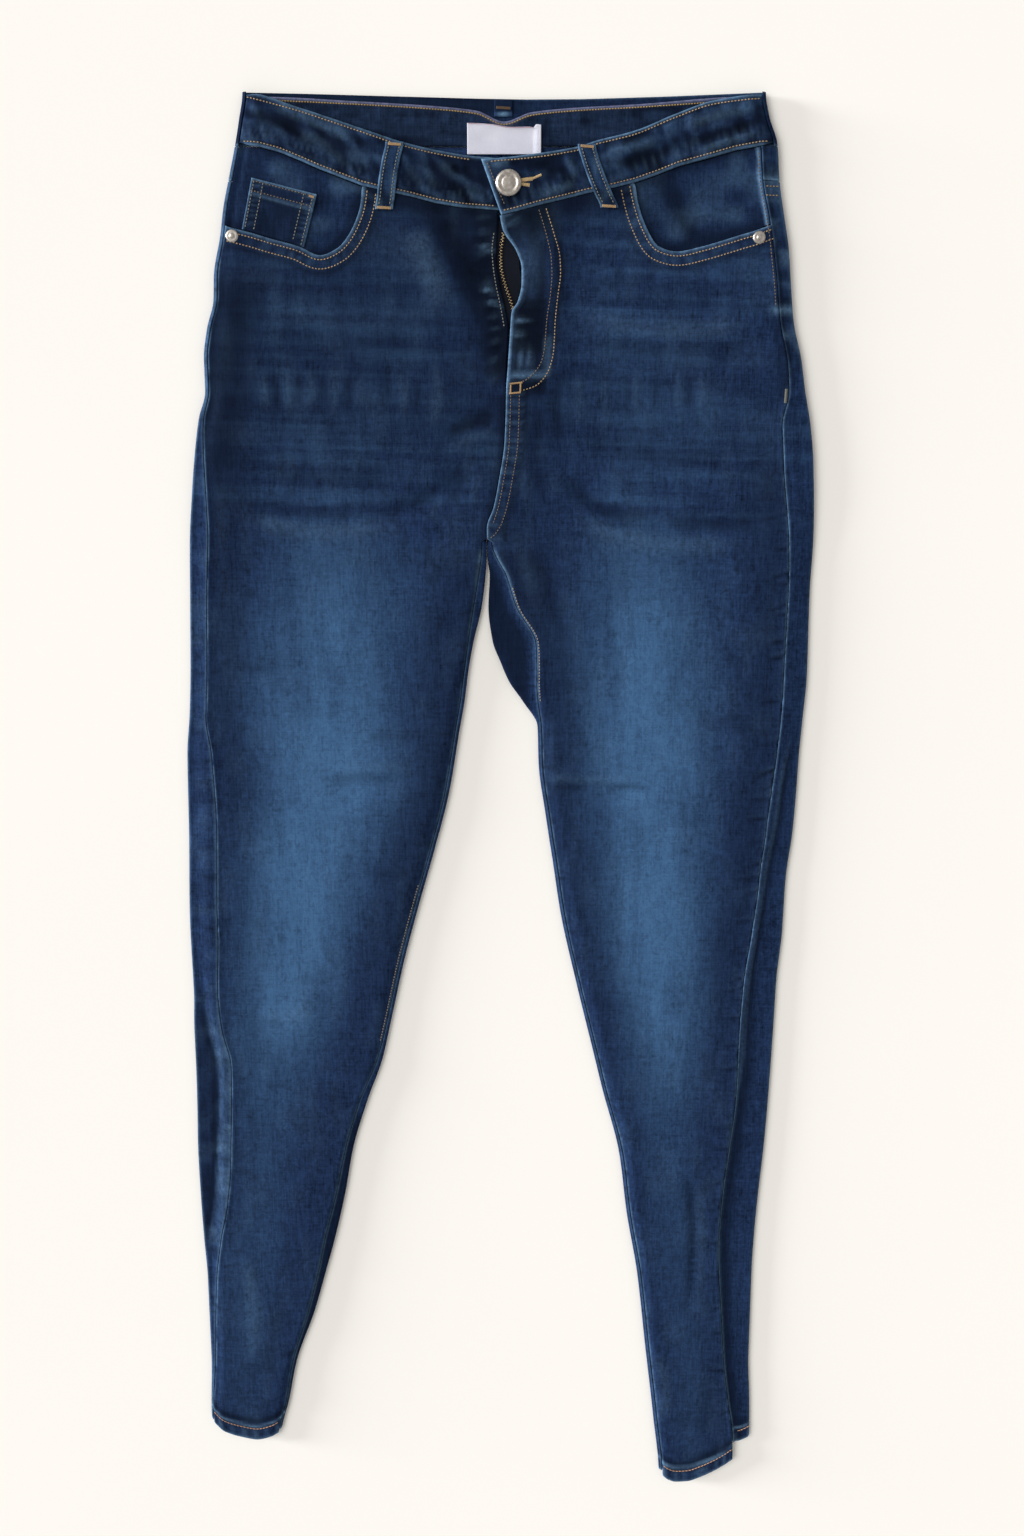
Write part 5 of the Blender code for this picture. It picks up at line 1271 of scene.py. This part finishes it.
def make_waistband_facing():
    across, up = spread(337, 2.2), spread(30, 1.4)[:, None]
    x = mix(-160, 177, across) + 0 * up
    high = curve(FACING_EDGE, x)
    y = mix(WAIST_SEAM_BACK, high, up)
    below = high - y
    relief = 0.3 * noise(x, y, 16, 9, 41) * smooth(below / 3) + 0.3 * bell(below - 1, 1.4)
    relief += 0.3 * puckers(x, below, 13, 0.2, 42) * bell(below - 9, 5)
    streak = unit(noise(x, y, 5, 40, 44) + 0.4) * bell(below - 8, 5)
    blotch = noise(x, y, 16, 4, 43)
    dip = bell(x - 9, 13)
    wear = 0.85 * bell(below - 0.4, mix(1.3, 2.8, dip))
    dye_and_shade = 0.62 - 0.4 * streak + 0.5 * unit(-blotch) - 0.35 * unit(blotch) * ramp(below, 10, 6)
    laid("waistband_facing", x, y, FACING_TOP + relief, wear, dye_and_shade * ramp(below, 1, 1.5), 0.15,
         "cloth_waistband_back", look=INSIDE, slot="denim_inside")


def facing_face(x, y):
    return FACING_TOP + 0.3 * bell(curve(FACING_EDGE, x) - y - 1, 1.4) + 0 * y


# ---- pockets

def pocket_facing_height(side, x, y):
    inset = (x - front_edges(side, y)[0]) * inward(side)
    return top_height(side, x, y) - (WALL + SEAM) * smooth(inset / 4)


def make_pocket_facing(side):
    direction = inward(side)
    seam = WAIST_SEAM[side][:POCKET_CORNER + 2]
    outer_top = float(front_edges(side, WAIST_SEAM_BACK + 1)[0])
    tops = [outer_top] + [x for x, y in seam if (x - outer_top) * direction > 2]
    spare = len(POCKET_EDGE[side]) - len(tops)
    for index in range(spare):
        tops.insert(2 * index + 1, mix(tops[2 * index], tops[2 * index + 1], 0.5))
    columns = []
    for index, (top_x, (share, low_x, low_y)) in enumerate(zip(tops, POCKET_EDGE[side])):
        shift = 12 * float(ramp(share, 0.4, 0.18))
        columns.append((index, top_x, float(line(seam, top_x)) - SEAM, low_x + direction * shift,
                        low_y - float(line(FACING_UNDER, share))))
    places = spread(95, 2.0) * (len(columns) - 1)
    top_x, top_y, low_x, low_y = (curve(columns, places, k) for k in (1, 2, 3, 4))
    down = spread(55, 2.0)[:, None]
    x, y = mix(top_x, low_x, down), mix(top_y, low_y, down)
    side_x = front_edges(side, y[:, 0])[0][:, None]
    x = x + (1 - smooth(places / 0.5)) * (side_x - x[:, :1])
    seed = 51 if side == "left" else 55
    soft = 0.2 * noise(x, y, 20, 16, seed) * smooth((x - side_x) * direction / 6)
    z = pocket_facing_height(side, x, y) + soft
    blotch = noise(x, y, 14, 12, seed + 1)
    away = nearest_on(POCKET_LINE[side], x, y)[0]
    below = line(WAIST_SEAM[side], x) - y
    # Painted shade under the pocket opening's edge and below the waistband, over uneven dye.
    dye_and_shade = 0.34 + 0.45 * unit(-blotch) + 0.6 * bell(away, 5) + 0.6 * bell(below, 3.5)
    # Painted shadow of a diagonal fold on the right facing.
    dye_and_shade += (0.7 * bell((x - 133) * 0.86 + (y - 462) * 0.5, 8) if side == "right" else 0.0)
    fade = unit(0.02 + 0.22 * unit(blotch))
    worn_seam = bell(x - side_x - direction * 2.2, 1.0) * (side == "right")
    z, dye_and_shade = z + 0.3 * worn_seam, dye_and_shade * (1 - 0.7 * worn_seam)
    wear = 0.16 * unit(blotch) + 0.7 * worn_seam
    laid("pocket_facing_" + side, x, y, z, wear, dye_and_shade, fade, "cloth_back_" + side)


def coin_height(x, y):
    inset = x - front_edges("left", y)[0]
    return top_height("left", x, y) + (WALL + SEAM) * (1 - smooth(inset / 4))


def coin_grid():
    across, down = spread(46, 1.6), spread(42, 1.6)[:, None]
    edge = [point[1:] for point in POCKET_EDGE["left"][:8]]
    low_x = mix(COIN_BOTTOM_X[0], COIN_BOTTOM_X[1], across)
    top_x, top_y = mix(COIN_TOP[0][0], COIN_TOP[1][0], across), mix(COIN_TOP[0][1], COIN_TOP[1][1], across)
    x, y = mix(top_x, low_x, down), mix(top_y, line(edge, low_x) + 0.6, down)
    return x, y, across * 46 + 0 * down, down * 40 + 0 * across


def make_coin_pocket():
    x, y, from_left, below = coin_grid()
    from_right = 46 - from_left
    hem = ramp(below, 12, -1.2)
    sides = np.maximum(bell(from_left - 4, 4), bell(from_right - 4, 4))
    wave = puckers(below, from_left, 6, 0.2, 61)
    seams = np.maximum(bell(from_left - 1, 1.2), bell(from_right - 1, 1.2))
    relief = 0.35 * hem + 0.2 * wave * sides + 0.25 * seams
    wear = 0.8 * bell(below, 1.6) + 0.35 * bell(below - 12, 1.2)
    wear += 0.5 * np.maximum(bell(from_left, 1.2), bell(from_right, 1.4)) + 0.22 * unit(wave) * sides
    patch = noise(x, y, 6, 12, 62)
    # Unfaded dye, with painted shade in the pucker valleys and below the turned hem.
    dye_and_shade = 0.75 + 0.45 * unit(-wave) * sides + 0.22 * (1 - hem) * (1 - sides) + 0.3 * bell(below - 14, 2)
    dye_and_shade -= 0.35 * unit(patch)
    dye_and_shade = dye_and_shade * (1 - 0.7 * unit(wear))
    laid("coin_pocket", x, y, coin_height(x, y) + relief, wear, dye_and_shade, 0.05, "cloth_pocket_facing_left")


# ---- loops, label, patch pockets

def loop_height(side, x, y):
    low, high = FRONT_LOOPS[side][0][0], FRONT_LOOPS[side][-1][0]
    seam = line(WAIST_SEAM[side], x)
    on_band = smooth((y - seam + 5) / 5)
    level = mix(top_height(side, x, y), band_height(side, x, np.maximum(y, seam)), on_band)
    arch = 0.7 * np.sin(math.pi * unit((y - low) / (high - low))) ** 2
    return level + SEAM + LOOP_WALL + arch


def loop_place(side, u, y):
    return curve(FRONT_LOOPS[side], y) + LOOP_WIDTH * (u - 0.5)


def loop_edge(u):
    """Distance to the nearer long edge of a loop."""
    return np.minimum(u, 1 - u) * LOOP_WIDTH


def make_front_loop(side):
    low, high = FRONT_LOOPS[side][0][0], FRONT_LOOPS[side][-1][0]
    u, y = spread(LOOP_WIDTH, 1.0), mix(low, high, spread(high - low, 1.3))[:, None]
    x, y = loop_place(side, u, y), y + 0 * u
    edge = loop_edge(u) + 0 * y
    relief = 0.25 * bell(edge - 1.2, 1.0) - 0.2 * bell(edge - 3, 1.0) + 0.15 * noise(x, y, 6, 7, 71)
    ends = np.minimum(y - low, high - y)
    patchy = 0.6 + 0.5 * noise(x, y, 4, 7, 74)
    wear = (0.75 * bell(edge - 0.3, 1.1) + 0.4 * bell(ends, 1.0)) * patchy + 0.3 * unit(noise(x, y, 5, 9,
                                                                                              72))
    dye_and_shade = 0.3 + 0.4 * bell(edge - 3, 1.2) + 0.35 * unit(noise(x, y, 6, 9, 73)) + 0.6 * ramp(y - low, 16, -8)
    laid("belt_loop_front_" + side, x, y, loop_height(side, x, y) + relief, wear, dye_and_shade, 0.25,
         "cloth_waistband_front_" + side, LOOP_WALL)


def make_back_loops():
    for name in ("left", "right"):
        middle = BACK_LOOPS[name]
        top = BACK_TOP - float(line(TOP_SAG, middle)) - SEAM
        u, y = spread(LOOP_WIDTH, 1.0), mix(498, top, spread(44, 1.5))[:, None]
        x, y = middle + LOOP_WIDTH * (u - 0.5) + 0 * y, y + 0 * u
        edge = loop_edge(u) + 0 * y
        laid("belt_loop_back_" + name, x, y, 0 * x, 0.7 * bell(edge, 0.9), 0.3 * bell(edge - 3, 1.2), 0.3,
             wall=-LOOP_WALL)
    middle = BACK_LOOPS["centre"]
    band_top = BACK_TOP - float(line(TOP_SAG, middle - LOOP_WIDTH / 2))
    edge_y = band_top + SEAM + LOOP_WALL
    end = band_top - 9.8
    inside = SEAT_LIFT + WALL + SEAM
    path = [(498, 0), (520, 0)]
    path += [(edge_y + y, z) for y, z in ((-1.5, 0), (-0.7, 0.2), (-0.2, 0.7), (0, 1.5), (0, 3.0),
                                          (-0.2, 3.6))]
    path += [(edge_y - 0.7, inside + LOOP_WALL - 0.2), (edge_y - 1.5, inside + LOOP_WALL),
             (end + 6, inside + LOOP_WALL + 0.2), (end, inside + LOOP_WALL)]
    turn = ((0, 0), (0.1, 0.05), (0.2, 0.1), (SEAM, 0.3))
    under = [(498, LOOP_WALL), (520, LOOP_WALL)] + [(band_top + y, LOOP_WALL + z) for y, z in turn]
    under += [(band_top + y, inside - z) for y, z in reversed(turn)] + [(end + 6, inside + 0.1),
                                                                        (end, inside)]
    u = spread(LOOP_WIDTH, 1.0)
    grids = []
    for points in (np.array(path), np.array(under)):
        fine = np.concatenate([mix(points[k], points[k + 1], np.linspace(0, 1, 8, endpoint=False)[:, None])
                               for k in range(len(points) - 1)] + [points[-1:]])
        x = middle + LOOP_WIDTH * (u - 0.5) + 0 * fine[:, :1]
        grids.append((x, fine[:, :1] + 0 * u, fine[:, 1:] + 0 * u))
    edge = loop_edge(u) + 0 * grids[0][0]
    turned_in = smooth((grids[0][2] - 2) / 1)
    tip = smooth((end + 3.5 - grids[0][1]) / 1.5) * turned_in
    wear = 0.6 * bell(edge, 0.9) * (1 - turned_in) + 0.95 * tip * bell(edge - 6, 3.2)
    # The turned-in part lies in the band's fold and gets the same painted shade.
    dye_and_shade = 0.3 * bell(edge - 3, 1.2) + 0.95 * turned_in * (1 - tip)
    cloth("belt_loop_back_centre", *grids, wear, dye_and_shade, 0.1, "cloth_waistband_back")


LABEL_LEVEL, LABEL_WALL = FACING_TOP + SEAM + 0.6, 0.5
LABEL_TOP = ((-17, 523.8), (0, 523.0), (14, 521.2), (26, 521.4), (30, 521.0), (31.2, 523.0), (35, 522.6))


def make_label():
    across, up = spread(51, 1.4), spread(18, 1.2)[:, None]
    x = mix(-16.5, 34.5, across) + 0 * up
    top = curve(LABEL_TOP, x)
    low = 503.5 + 0 * x
    y = mix(low, top, up)
    folded = ramp(x, 30.2, 0.8)
    relief = 0.25 * noise(x, y, 14, 9, 81) + 0.55 * folded + 0.3 * bell(top - y - 0.6, 1.0)
    laid("label", x, y, LABEL_LEVEL + 0.2 + relief, fade=0, on="cloth_waistband_facing", wall=LABEL_WALL,
         look=LABEL, slot="label_cloth")


def make_back_pocket(side):
    direction = inward(side)
    middle = float(curve(OUTER[side], 380)) + direction * 108
    u, v = spread(122, 3.0), spread(130, 3.0)[:, None]
    top = mix(440, 434, u)
    low = np.interp(u, (0, 0.5, 1), (322, 298, 320))
    half = mix(62, 60, v)
    x = middle - direction * (half * (2 * u - 1))
    y = mix(top, low, v)
    inset = np.minimum(np.minimum(u, 1 - u) * 122 + 0 * v, np.minimum(v, 1 - v) * 120 + 0 * u)
    wear, dye_and_shade = 0.6 * bell(inset, 1.2), 0.25 * bell(inset - 8, 3)
    laid("back_pocket_" + side, x, y, 0 * x, wear, dye_and_shade, 0.25, wall=-WALL)


# ---- fly and zip

FLY_TOP, FLY_BOTTOM = 461, 350


def make_fly():
    v = np.linspace(FLY_TOP, FLY_BOTTOM, 60)[:, None]
    u = spread(44, 1.8)
    x = mix(-10, 34 - 8 * ramp(v, 370, -20), u)
    y = v + 0 * u
    z = FACING_TOP + 0.15 * noise(x, y, 12, 10, 91)
    # The shield, seen in the gape beside the teeth, is darkened nearly to the deep colour: painted shade.
    wear, dye_and_shade = 0.2 * bell(u * 44 - 1, 1.5) + 0 * y, 0.85 + 0.15 * noise(x, y, 8, 12, 92)
    laid("fly_shield", x, y, z, wear, dye_and_shade, 0.0, "cloth_back_left", look=INSIDE)
    start = np.maximum(np.maximum(curve(FLY_EDGE["right"], v), curve(TEETH, v) + 2.5),
                       np.where(v > 446, 14.5, 0)) + 0.8
    end = mix(46, start + 8, ramp(v, 375, -25))
    x = mix(start, end, spread(30, 2.0))
    y = v + 0 * x
    z = np.minimum(6.6, top_height("right", x, y) - WALL - 2 * SEAM)
    laid("fly_facing", x, y, z, 0.2, 0.6, 0.05, "cloth_fly_shield", look=INSIDE)
    x = curve(TEETH, v) + mix(-13, 13, spread(26, 1.6))
    y = v + 0 * x
    laid("zip_tape", x, y, 5.1 + 0 * x, on="cloth_fly_shield", wall=0.6, look=TAPE, slot="cotton")


def box_points(centre, along, size):
    """Eight corners and six faces of a small block turned in the plane of the cloth."""
    forward = np.array((along[0], along[1], 0.0)) / math.hypot(along[0], along[1])
    sideways = np.array((-forward[1], forward[0], 0.0))
    corners = []
    for a in (-1, 1):
        for b in (-1, 1):
            for c in (-1, 1):
                corners.append(np.array(centre) + forward * a * size[0] / 2 + sideways * b * size[1] / 2
                               + np.array((0, 0, c * size[2] / 2)))
    faces = ((0, 1, 3, 2), (4, 6, 7, 5), (0, 4, 5, 1), (2, 3, 7, 6), (0, 2, 6, 4), (1, 5, 7, 3))
    return corners, faces


def make_teeth():
    """Two rows of zip teeth that mesh with each other, each a small bevelled block with a knob."""
    points, faces = [], []
    ys = np.arange(359, 452, 1.05)
    for index, y in enumerate(ys):
        side = 1 if index % 2 else -1
        x = float(curve(TEETH, y))
        slope = (float(curve(TEETH, y + 1)) - float(curve(TEETH, y - 1))) / 2
        across = np.array((1.0, -slope)) / math.hypot(1, slope)
        for reach, size in ((0.55, (1.1, 0.7, 1.5)), (0.1, (0.7, 0.6, 1.1))):
            centre = (x + across[0] * side * reach, y + across[1] * side * reach, 6.2)
            corners, sides = box_points(centre, across, size)
            first = len(points)
            points += corners
            faces += [tuple(first + k for k in face) for face in sides]
    made = plain_piece("zip_teeth_rows", points, faces, BRASS, ("zip_teeth",), False)
    bevel = made.modifiers.new("rounding", "BEVEL")
    bevel.width = 0.15 * MM
    bevel.segments = 1
    return made


def turned(name, profile, at, base, steps, look, node, slot):
    """A round piece turned from (radius, height) points."""
    points, faces = [(at[0], at[1], base + profile[0][1])], []
    rings = profile[1:-1]
    for radius, height in rings:
        for k in range(steps):
            angle = 2 * math.pi * k / steps
            points.append((at[0] + radius * math.cos(angle), at[1] + radius * math.sin(angle),
                           base + height))
    points.append((at[0], at[1], base + profile[-1][1]))
    last = len(points) - 1
    for k in range(steps):
        after = (k + 1) % steps
        faces.append((0, 1 + k, 1 + after))
        for ring in range(len(rings) - 1):
            a, b = 1 + ring * steps, 1 + (ring + 1) * steps
            faces.append((a + k, b + k, b + after, a + after))
        a = 1 + (len(rings) - 1) * steps
        faces.append((a + k, last, a + after))
    return plain_piece(name, points, faces, look, (node,))


def make_metal():
    x, y = BUTTON_AT
    base = float(band_height("right", x, y)) + SEAM
    profile = ((0, 2.7), (1.5, 2.72), (3.6, 2.75), (4.3, 2.6), (4.9, 2.35), (5.4, 2.4), (6.0, 2.75),
               (6.9, 2.95), (7.8, 2.85), (8.5, 2.4), (9.0, 1.7), (9.1, 1.1), (8.9, 0.5), (8.3, 0.1), (0, 0))
    turned("button_face", profile, BUTTON_AT, base, 64, PEWTER, "button", "pewter")
    for side, (x, y) in RIVETS_AT.items():
        high = max(float(top_height(side, x + dx, y + dy)) for dx in (-4, 0, 4) for dy in (-4, 0, 4))
        profile = ((0, 1.45), (0.8, 1.5), (1.3, 1.35), (1.7, 1.0), (2.2, 0.85), (3.0, 1.0), (3.7, 0.95),
                   (4.2, 0.7), (4.4, 0.35), (4.3, 0.05), (0, 0))
        turned("rivet_head_" + side, profile, (x, y), high + 0.3, 40, PEWTER, "rivet_" + side, "pewter")


def make_bags():
    for side in SIDES:
        middle = -128 if side == "left" else 132
        u, v = spread(80, 3.0), spread(77, 3.0)[:, None]
        half = 40 - 12 * v * v
        x, y = middle + half * (2 * u - 1), mix(422, 345, v) + 0 * u
        laid("pocket_bag_" + side, x, y, top_height(side, x, y) - WALL - SEAM, on="cloth_back_" + side,
             look=COTTON, slot="cotton")


# ---- sewing

def stitch_line(points, height, lift=0.12, pitch=2.3, length=1.5):
    """Start and end points of the stitches along a line on a surface given by height(x, y)."""
    lengths = lengths_along(points)
    starts = np.arange(0.4, lengths[-1] - length, pitch)
    ends = []
    for at in (starts, starts + length):
        x, y = (np.interp(at, lengths, values) for values in np.transpose(points))
        ends.append(np.column_stack((x, y, height(x, y) + lift)))
    return np.stack(ends, axis=1)


def bartack(start, end, height, width=2.6, lift=0.25):
    """Dense short stitches across a line, as a tack has."""
    start, end = np.array(start, float), np.array(end, float)
    along = end - start
    length = np.hypot(*along)
    across = np.array((-along[1], along[0])) / length * width / 2
    middles = start + along * (np.arange(0.4, length, 0.75) / length)[:, None]
    ends = []
    for sign in (-1, 1):
        place = middles + sign * across
        ends.append(np.column_stack((place, height(place[:, 0], place[:, 1]) + lift)))
    return np.stack(ends, axis=1)


HEM_MIDDLE = {"left": -486.0, "right": -516.0}
# Where the rows along the seam and along the upper edge of the waistband start and end.
BAND_STITCH_ENDS = {"left": ((-172, 4), (-168, -12)), "right": ((5, 192), (-1.5, 185))}
# Tacks as pairs of end points.
BOX_TACK = (((12.4, 342.8), (21, 343.6)), ((12.8, 349.4), (22, 350.4)), ((13.4, 343.4), (13.6, 349.0)),
            ((20.4, 344.0), (20.6, 349.8)))
BUTTONHOLE = ((((20.4, 485.8), (28.5, 486.8)), 2.6), (((28.5, 486.9), (34.6, 489.4)), 1.7),
              (((20.0, 483.6), (26.4, 482.6)), 2.4))
RISE_TOE = ((4.4, 246.6), (1.8, 243.0), (-1.4, 240.6))


def sew(name, runs, look, width):
    """One joined mesh of all the stitches of a thread: each a flattened capsule."""
    ends = np.concatenate(runs)
    start, end = ends[:, 0], ends[:, 1]
    along = end - start
    length = np.linalg.norm(along, axis=1)[:, None]
    along = along / length
    up = np.array((0.0, 0.0, 1.0))
    sideways = np.cross(up, along)
    sideways /= np.linalg.norm(sideways, axis=1)[:, None]
    normal = np.cross(along, sideways)
    count = 6
    rings = ((0.0, 0.35), (0.12, 0.9), (0.5, 1.0), (0.88, 0.9), (1.0, 0.35))
    points = []
    for share, swell in rings:
        arch = 0.18 * math.sin(math.pi * share)
        for k in range(count):
            angle = 2 * math.pi * k / count
            points.append(start + along * length * share + sideways * (math.cos(angle) * swell * width / 2)
                          + normal * (math.sin(angle) * swell * width * 0.38 + arch))
    per = len(points)
    points = np.stack(points, axis=1).reshape(-1, 3)
    pattern = []
    for ring in range(len(rings) - 1):
        for k in range(count):
            a, b = ring * count + k, ring * count + (k + 1) % count
            pattern.append((a, b, b + count, a + count))
    pattern = np.array(pattern)
    offsets = (np.arange(len(ends)) * per)[:, None, None]
    quads = (pattern[None] + offsets).reshape(-1, 4)
    base = offsets[:, 0]
    caps = (base + np.arange(count - 1, -1, -1)).tolist()
    caps += (base + (len(rings) - 1) * count + np.arange(count)).tolist()
    return plain_piece(name, points, quads.tolist() + caps, look, ())


def strip_face(side, x, y):
    return strip_height(side, x, y, (front_edges(side, y)[0] - x) * inward(side))


def upright(x, low, high, count):
    """An upright line of points; x is one value or a function of the height."""
    y = np.linspace(low, high, count)
    return np.column_stack((x(y) if callable(x) else 0 * y + x, y))


def level(y, low, high, count):
    """A line of points across the jeans; y is one value or a function of x."""
    x = np.linspace(low, high, count)
    return np.column_stack((x, y(x) if callable(y) else 0 * x + y))


def make_sewing():
    gold, beige, hems, grey, faded, tacks = [], [], [], [], [], []
    hem_thread = {"pitch": 2.75, "length": 2.55}
    for side in SIDES:
        direction = inward(side)
        front, band, loop = (partial(face, side) for face in (front_height, band_top_face, loop_height))

        # waistband, along its seam and along its upper edge
        low = dense([(x, y + 2.8) for x, y in WAIST_SEAM[side]])
        high = rounded([(x, y - 2.6) for x, y in BAND_TOP[side]])
        for run, (first, last) in zip((low, high), BAND_STITCH_ENDS[side]):
            gold.append(stitch_line(run[(run[:, 0] > first) & (run[:, 0] < last)], band))

        # pocket opening, twice
        for distance in (3.4, 9.6):
            run = beside(POCKET_LINE[side], -direction * distance)
            x, y = run.T
            keep = ((x - curve(OUTER[side], y)) * direction > 4.2) & (y < line(WAIST_SEAM[side], x) - 1)
            gold.append(stitch_line(run[keep], front))

        # loops
        low, high = FRONT_LOOPS[side][0][0], FRONT_LOOPS[side][-1][0]
        for u in (0.2, 0.8):
            run = upright(partial(loop_place, side, u), low + 3, high - 2.5, 20)
            grey.append(stitch_line(run, loop, lift=0.2))
        for y, reach in ((low + 1.3, 0.9), (high - 1.3, 0.85)):
            ends = (loop_place(side, 1 - reach, y), y), (loop_place(side, reach, y), y - 0.6)
            tacks.append(bartack(*ends, loop, 1.9))

        # hems
        outer, inner = front_edges(side, HEM_MIDDLE[side])
        ends = outer + direction * 0.5, inner - direction * 0.5
        run = level(lambda x: curve(HEM[side], x) + HEM_STITCH, *ends, 60)
        hems.append(stitch_line(run, front, lift=0.3, **hem_thread))

        # inner seam
        low, high = (-150, -22) if side == "left" else (120, 205)
        run = upright(lambda y: front_edges(side, y)[1] - direction * 1.6, high, low, 120)
        beige.append(stitch_line(run, front))

    front, band, strip = (partial(face, "right") for face in (front_height, band_top_face, strip_face))

    def side_face(x, y):
        return np.where(y > 456, pocket_facing_height("right", x, y), front(x, y))

    def coin(x, y):
        return coin_height(x, y) + 0.35

    # right side: seam, yoke and tack on the part of the back that shows
    faded.append(stitch_line(upright(lambda y: front_edges("right", y)[0] - 2.0, 505, 402, 60), side_face))
    for y in (482.5, 476.5):
        gold.append(stitch_line(level(y, 190.5, 200.5, 8), strip))
    grey.append(bartack((210.0, 346), (209.5, 336), strip, 2.0))

    # fly, its box tack, and the rise
    gold.append(stitch_line(J_OUTER, front))
    faded.append(stitch_line(J_INNER, front))
    for ends in BOX_TACK:
        tacks.append(bartack(*ends, front, 1.3))
    for distance, toe in ((3.6, ()), (9.8, RISE_TOE)):
        run = RISE_LINE + (distance, 0.0)
        faded.append(stitch_line([*run[run[:, 1] > 249], *toe], front))

    # the waistband's end, the facing and the coin pocket
    faded.append(stitch_line(dense(((-2.6, 497.5), (3.0, 484), (10.0, 468.5))), band))
    facing = [stitch_line(rounded([(x, y - 2.1) for x, y in FACING_EDGE]), facing_face, pitch=1.95)]
    x, y, from_left, below = coin_grid()
    for depth in (1.8, 10.0):
        row = int(np.abs(below[:, 0] - depth).argmin())
        faded.append(stitch_line(np.column_stack((x[row], y[row]))[3:-3], coin))
    for inset in (2.0, 8.5, 37.5, 44.0):
        column = int(np.abs(from_left[0] - inset).argmin())
        grey.append(stitch_line(np.column_stack((x[:, column], y[:, column]))[4:-3], coin))
    tacks.append(bartack((-126.5, 476.0), (-122.8, 475), coin, 1.8))

    # fly under-stitch on the left front
    run = rounded(((2, 452), (0.5, 440), (1, 432), (3, 418), (6.5, 402), (9, 388)))
    grey.append(stitch_line(run, partial(front_height, "left")))

    # the hem of the right back where it shows beside the front
    run = level(lambda x: curve(BACK_HEM["right"], x) + HEM_STITCH, 201.5, 211.5, 12)
    hems.append(stitch_line(run, lambda x, y: strip_height("right", x, y, 201 - x), lift=0.35, **hem_thread))

    # buttonhole, the label's woven upper edge, and the tack across the turned-in end of the centre loop
    x = np.linspace(-16, 29.5, 60)
    edge = np.column_stack((x, curve(LABEL_TOP, x) - 0.45, 0 * x + LABEL_LEVEL + 0.5))
    loop_face = SEAT_LIFT + WALL + SEAM + LOOP_WALL
    loop_end = bartack((3.6, 534.0), (13.4, 533.4), lambda x, y: 0 * x + loop_face, 1.9)
    for name, runs, look, width in (
            ("stitches_buttonhole", [bartack(*ends, band, thick) for ends, thick in BUTTONHOLE], CREAM,
             0.75),
            ("label_edge_thread", [np.stack((edge[:-1], edge[1:]), axis=1)], ROSE, 0.5),
            ("loop_tack_thread", [loop_end], BROWN, 0.8),
            ("stitches_gold", gold, GOLD, 0.8),
            ("stitches_faded", faded, FADED_GOLD, 0.72),
            ("stitches_facing", facing, OLIVE, 0.85),
            ("stitches_tacks", tacks, ORANGE, 0.7),
            ("stitches_inseam", beige, BEIGE, 0.8),
            ("stitches_hem", hems, PINK, 0.8),
            ("stitches_grey", grey, GREY, 0.75)):
        sew(name, runs, look, width)


# ---- the whole

for side_name in SIDES:
    make_back(side_name)
    make_front(side_name)
    make_yoke(side_name)
    make_pocket_facing(side_name)
    make_waistband_front(side_name)
    make_front_loop(side_name)
    make_back_pocket(side_name)
make_waistband_back()
make_waistband_facing()
make_coin_pocket()
make_back_loops()
make_label()
make_fly()
make_teeth()
make_metal()
make_bags()
make_sewing()
for node_name in ("zip_slider", "zip_pull"):
    for material_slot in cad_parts[node_name].material_slots:
        material_slot.material = BRONZE

# ---- floor, light and camera

CAMERA_AT = (0.0144, 0.301, 1.104)
CAMERA_PITCH = math.radians(-12)
GROUND = Look("pale_ground")
GROUND.finish(GROUND.blend(GROUND.noise(3, 2), (0.93, 0.915, 0.875), (0.955, 0.94, 0.90)), 0.95)

bpy.ops.mesh.primitive_plane_add(size=12, location=(0, 0, -0.0003))
floor = bpy.context.object
floor.name = "floor"
floor.data.materials.append(GROUND.made)


def soft_sun(name, towards, strength, spread_degrees, colour):
    """Even light from far away; towards is the direction in which it travels."""
    data = bpy.data.lights.new(name, "SUN")
    data.energy = strength
    data.angle = math.radians(spread_degrees)
    data.color = colour
    made = bpy.data.objects.new(name, data)
    x, y, z = towards
    made.rotation_euler = (math.atan2(math.hypot(x, y), -z), 0, math.atan2(y, x) - math.pi / 2)
    bpy.context.scene.collection.objects.link(made)


soft_sun("window", (0.75, -0.25, -0.8), 1.55, 40, (1.0, 0.985, 0.965))
soft_sun("window_low", (0.97, -0.2, -0.105), 5.8, 14, (0.985, 0.99, 1.0))
world = bpy.data.worlds.new("studio")
bpy.context.scene.world = world
world.use_nodes = True
world.node_tree.nodes["Background"].inputs["Color"].default_value = (1.0, 0.97, 0.94, 1.0)
world.node_tree.nodes["Background"].inputs["Strength"].default_value = 0.51

camera_data = bpy.data.cameras.new("camera")
camera_data.lens = 35
camera_data.sensor_width = 36
camera_data.clip_start = 0.01
camera = bpy.data.objects.new("camera", camera_data)
camera.location = CAMERA_AT
camera.rotation_euler = (CAMERA_PITCH, 0, 0)
bpy.context.scene.collection.objects.link(camera)
bpy.context.scene.camera = camera
bpy.context.scene.view_settings.view_transform = "Standard"

bpy.context.view_layer.update()
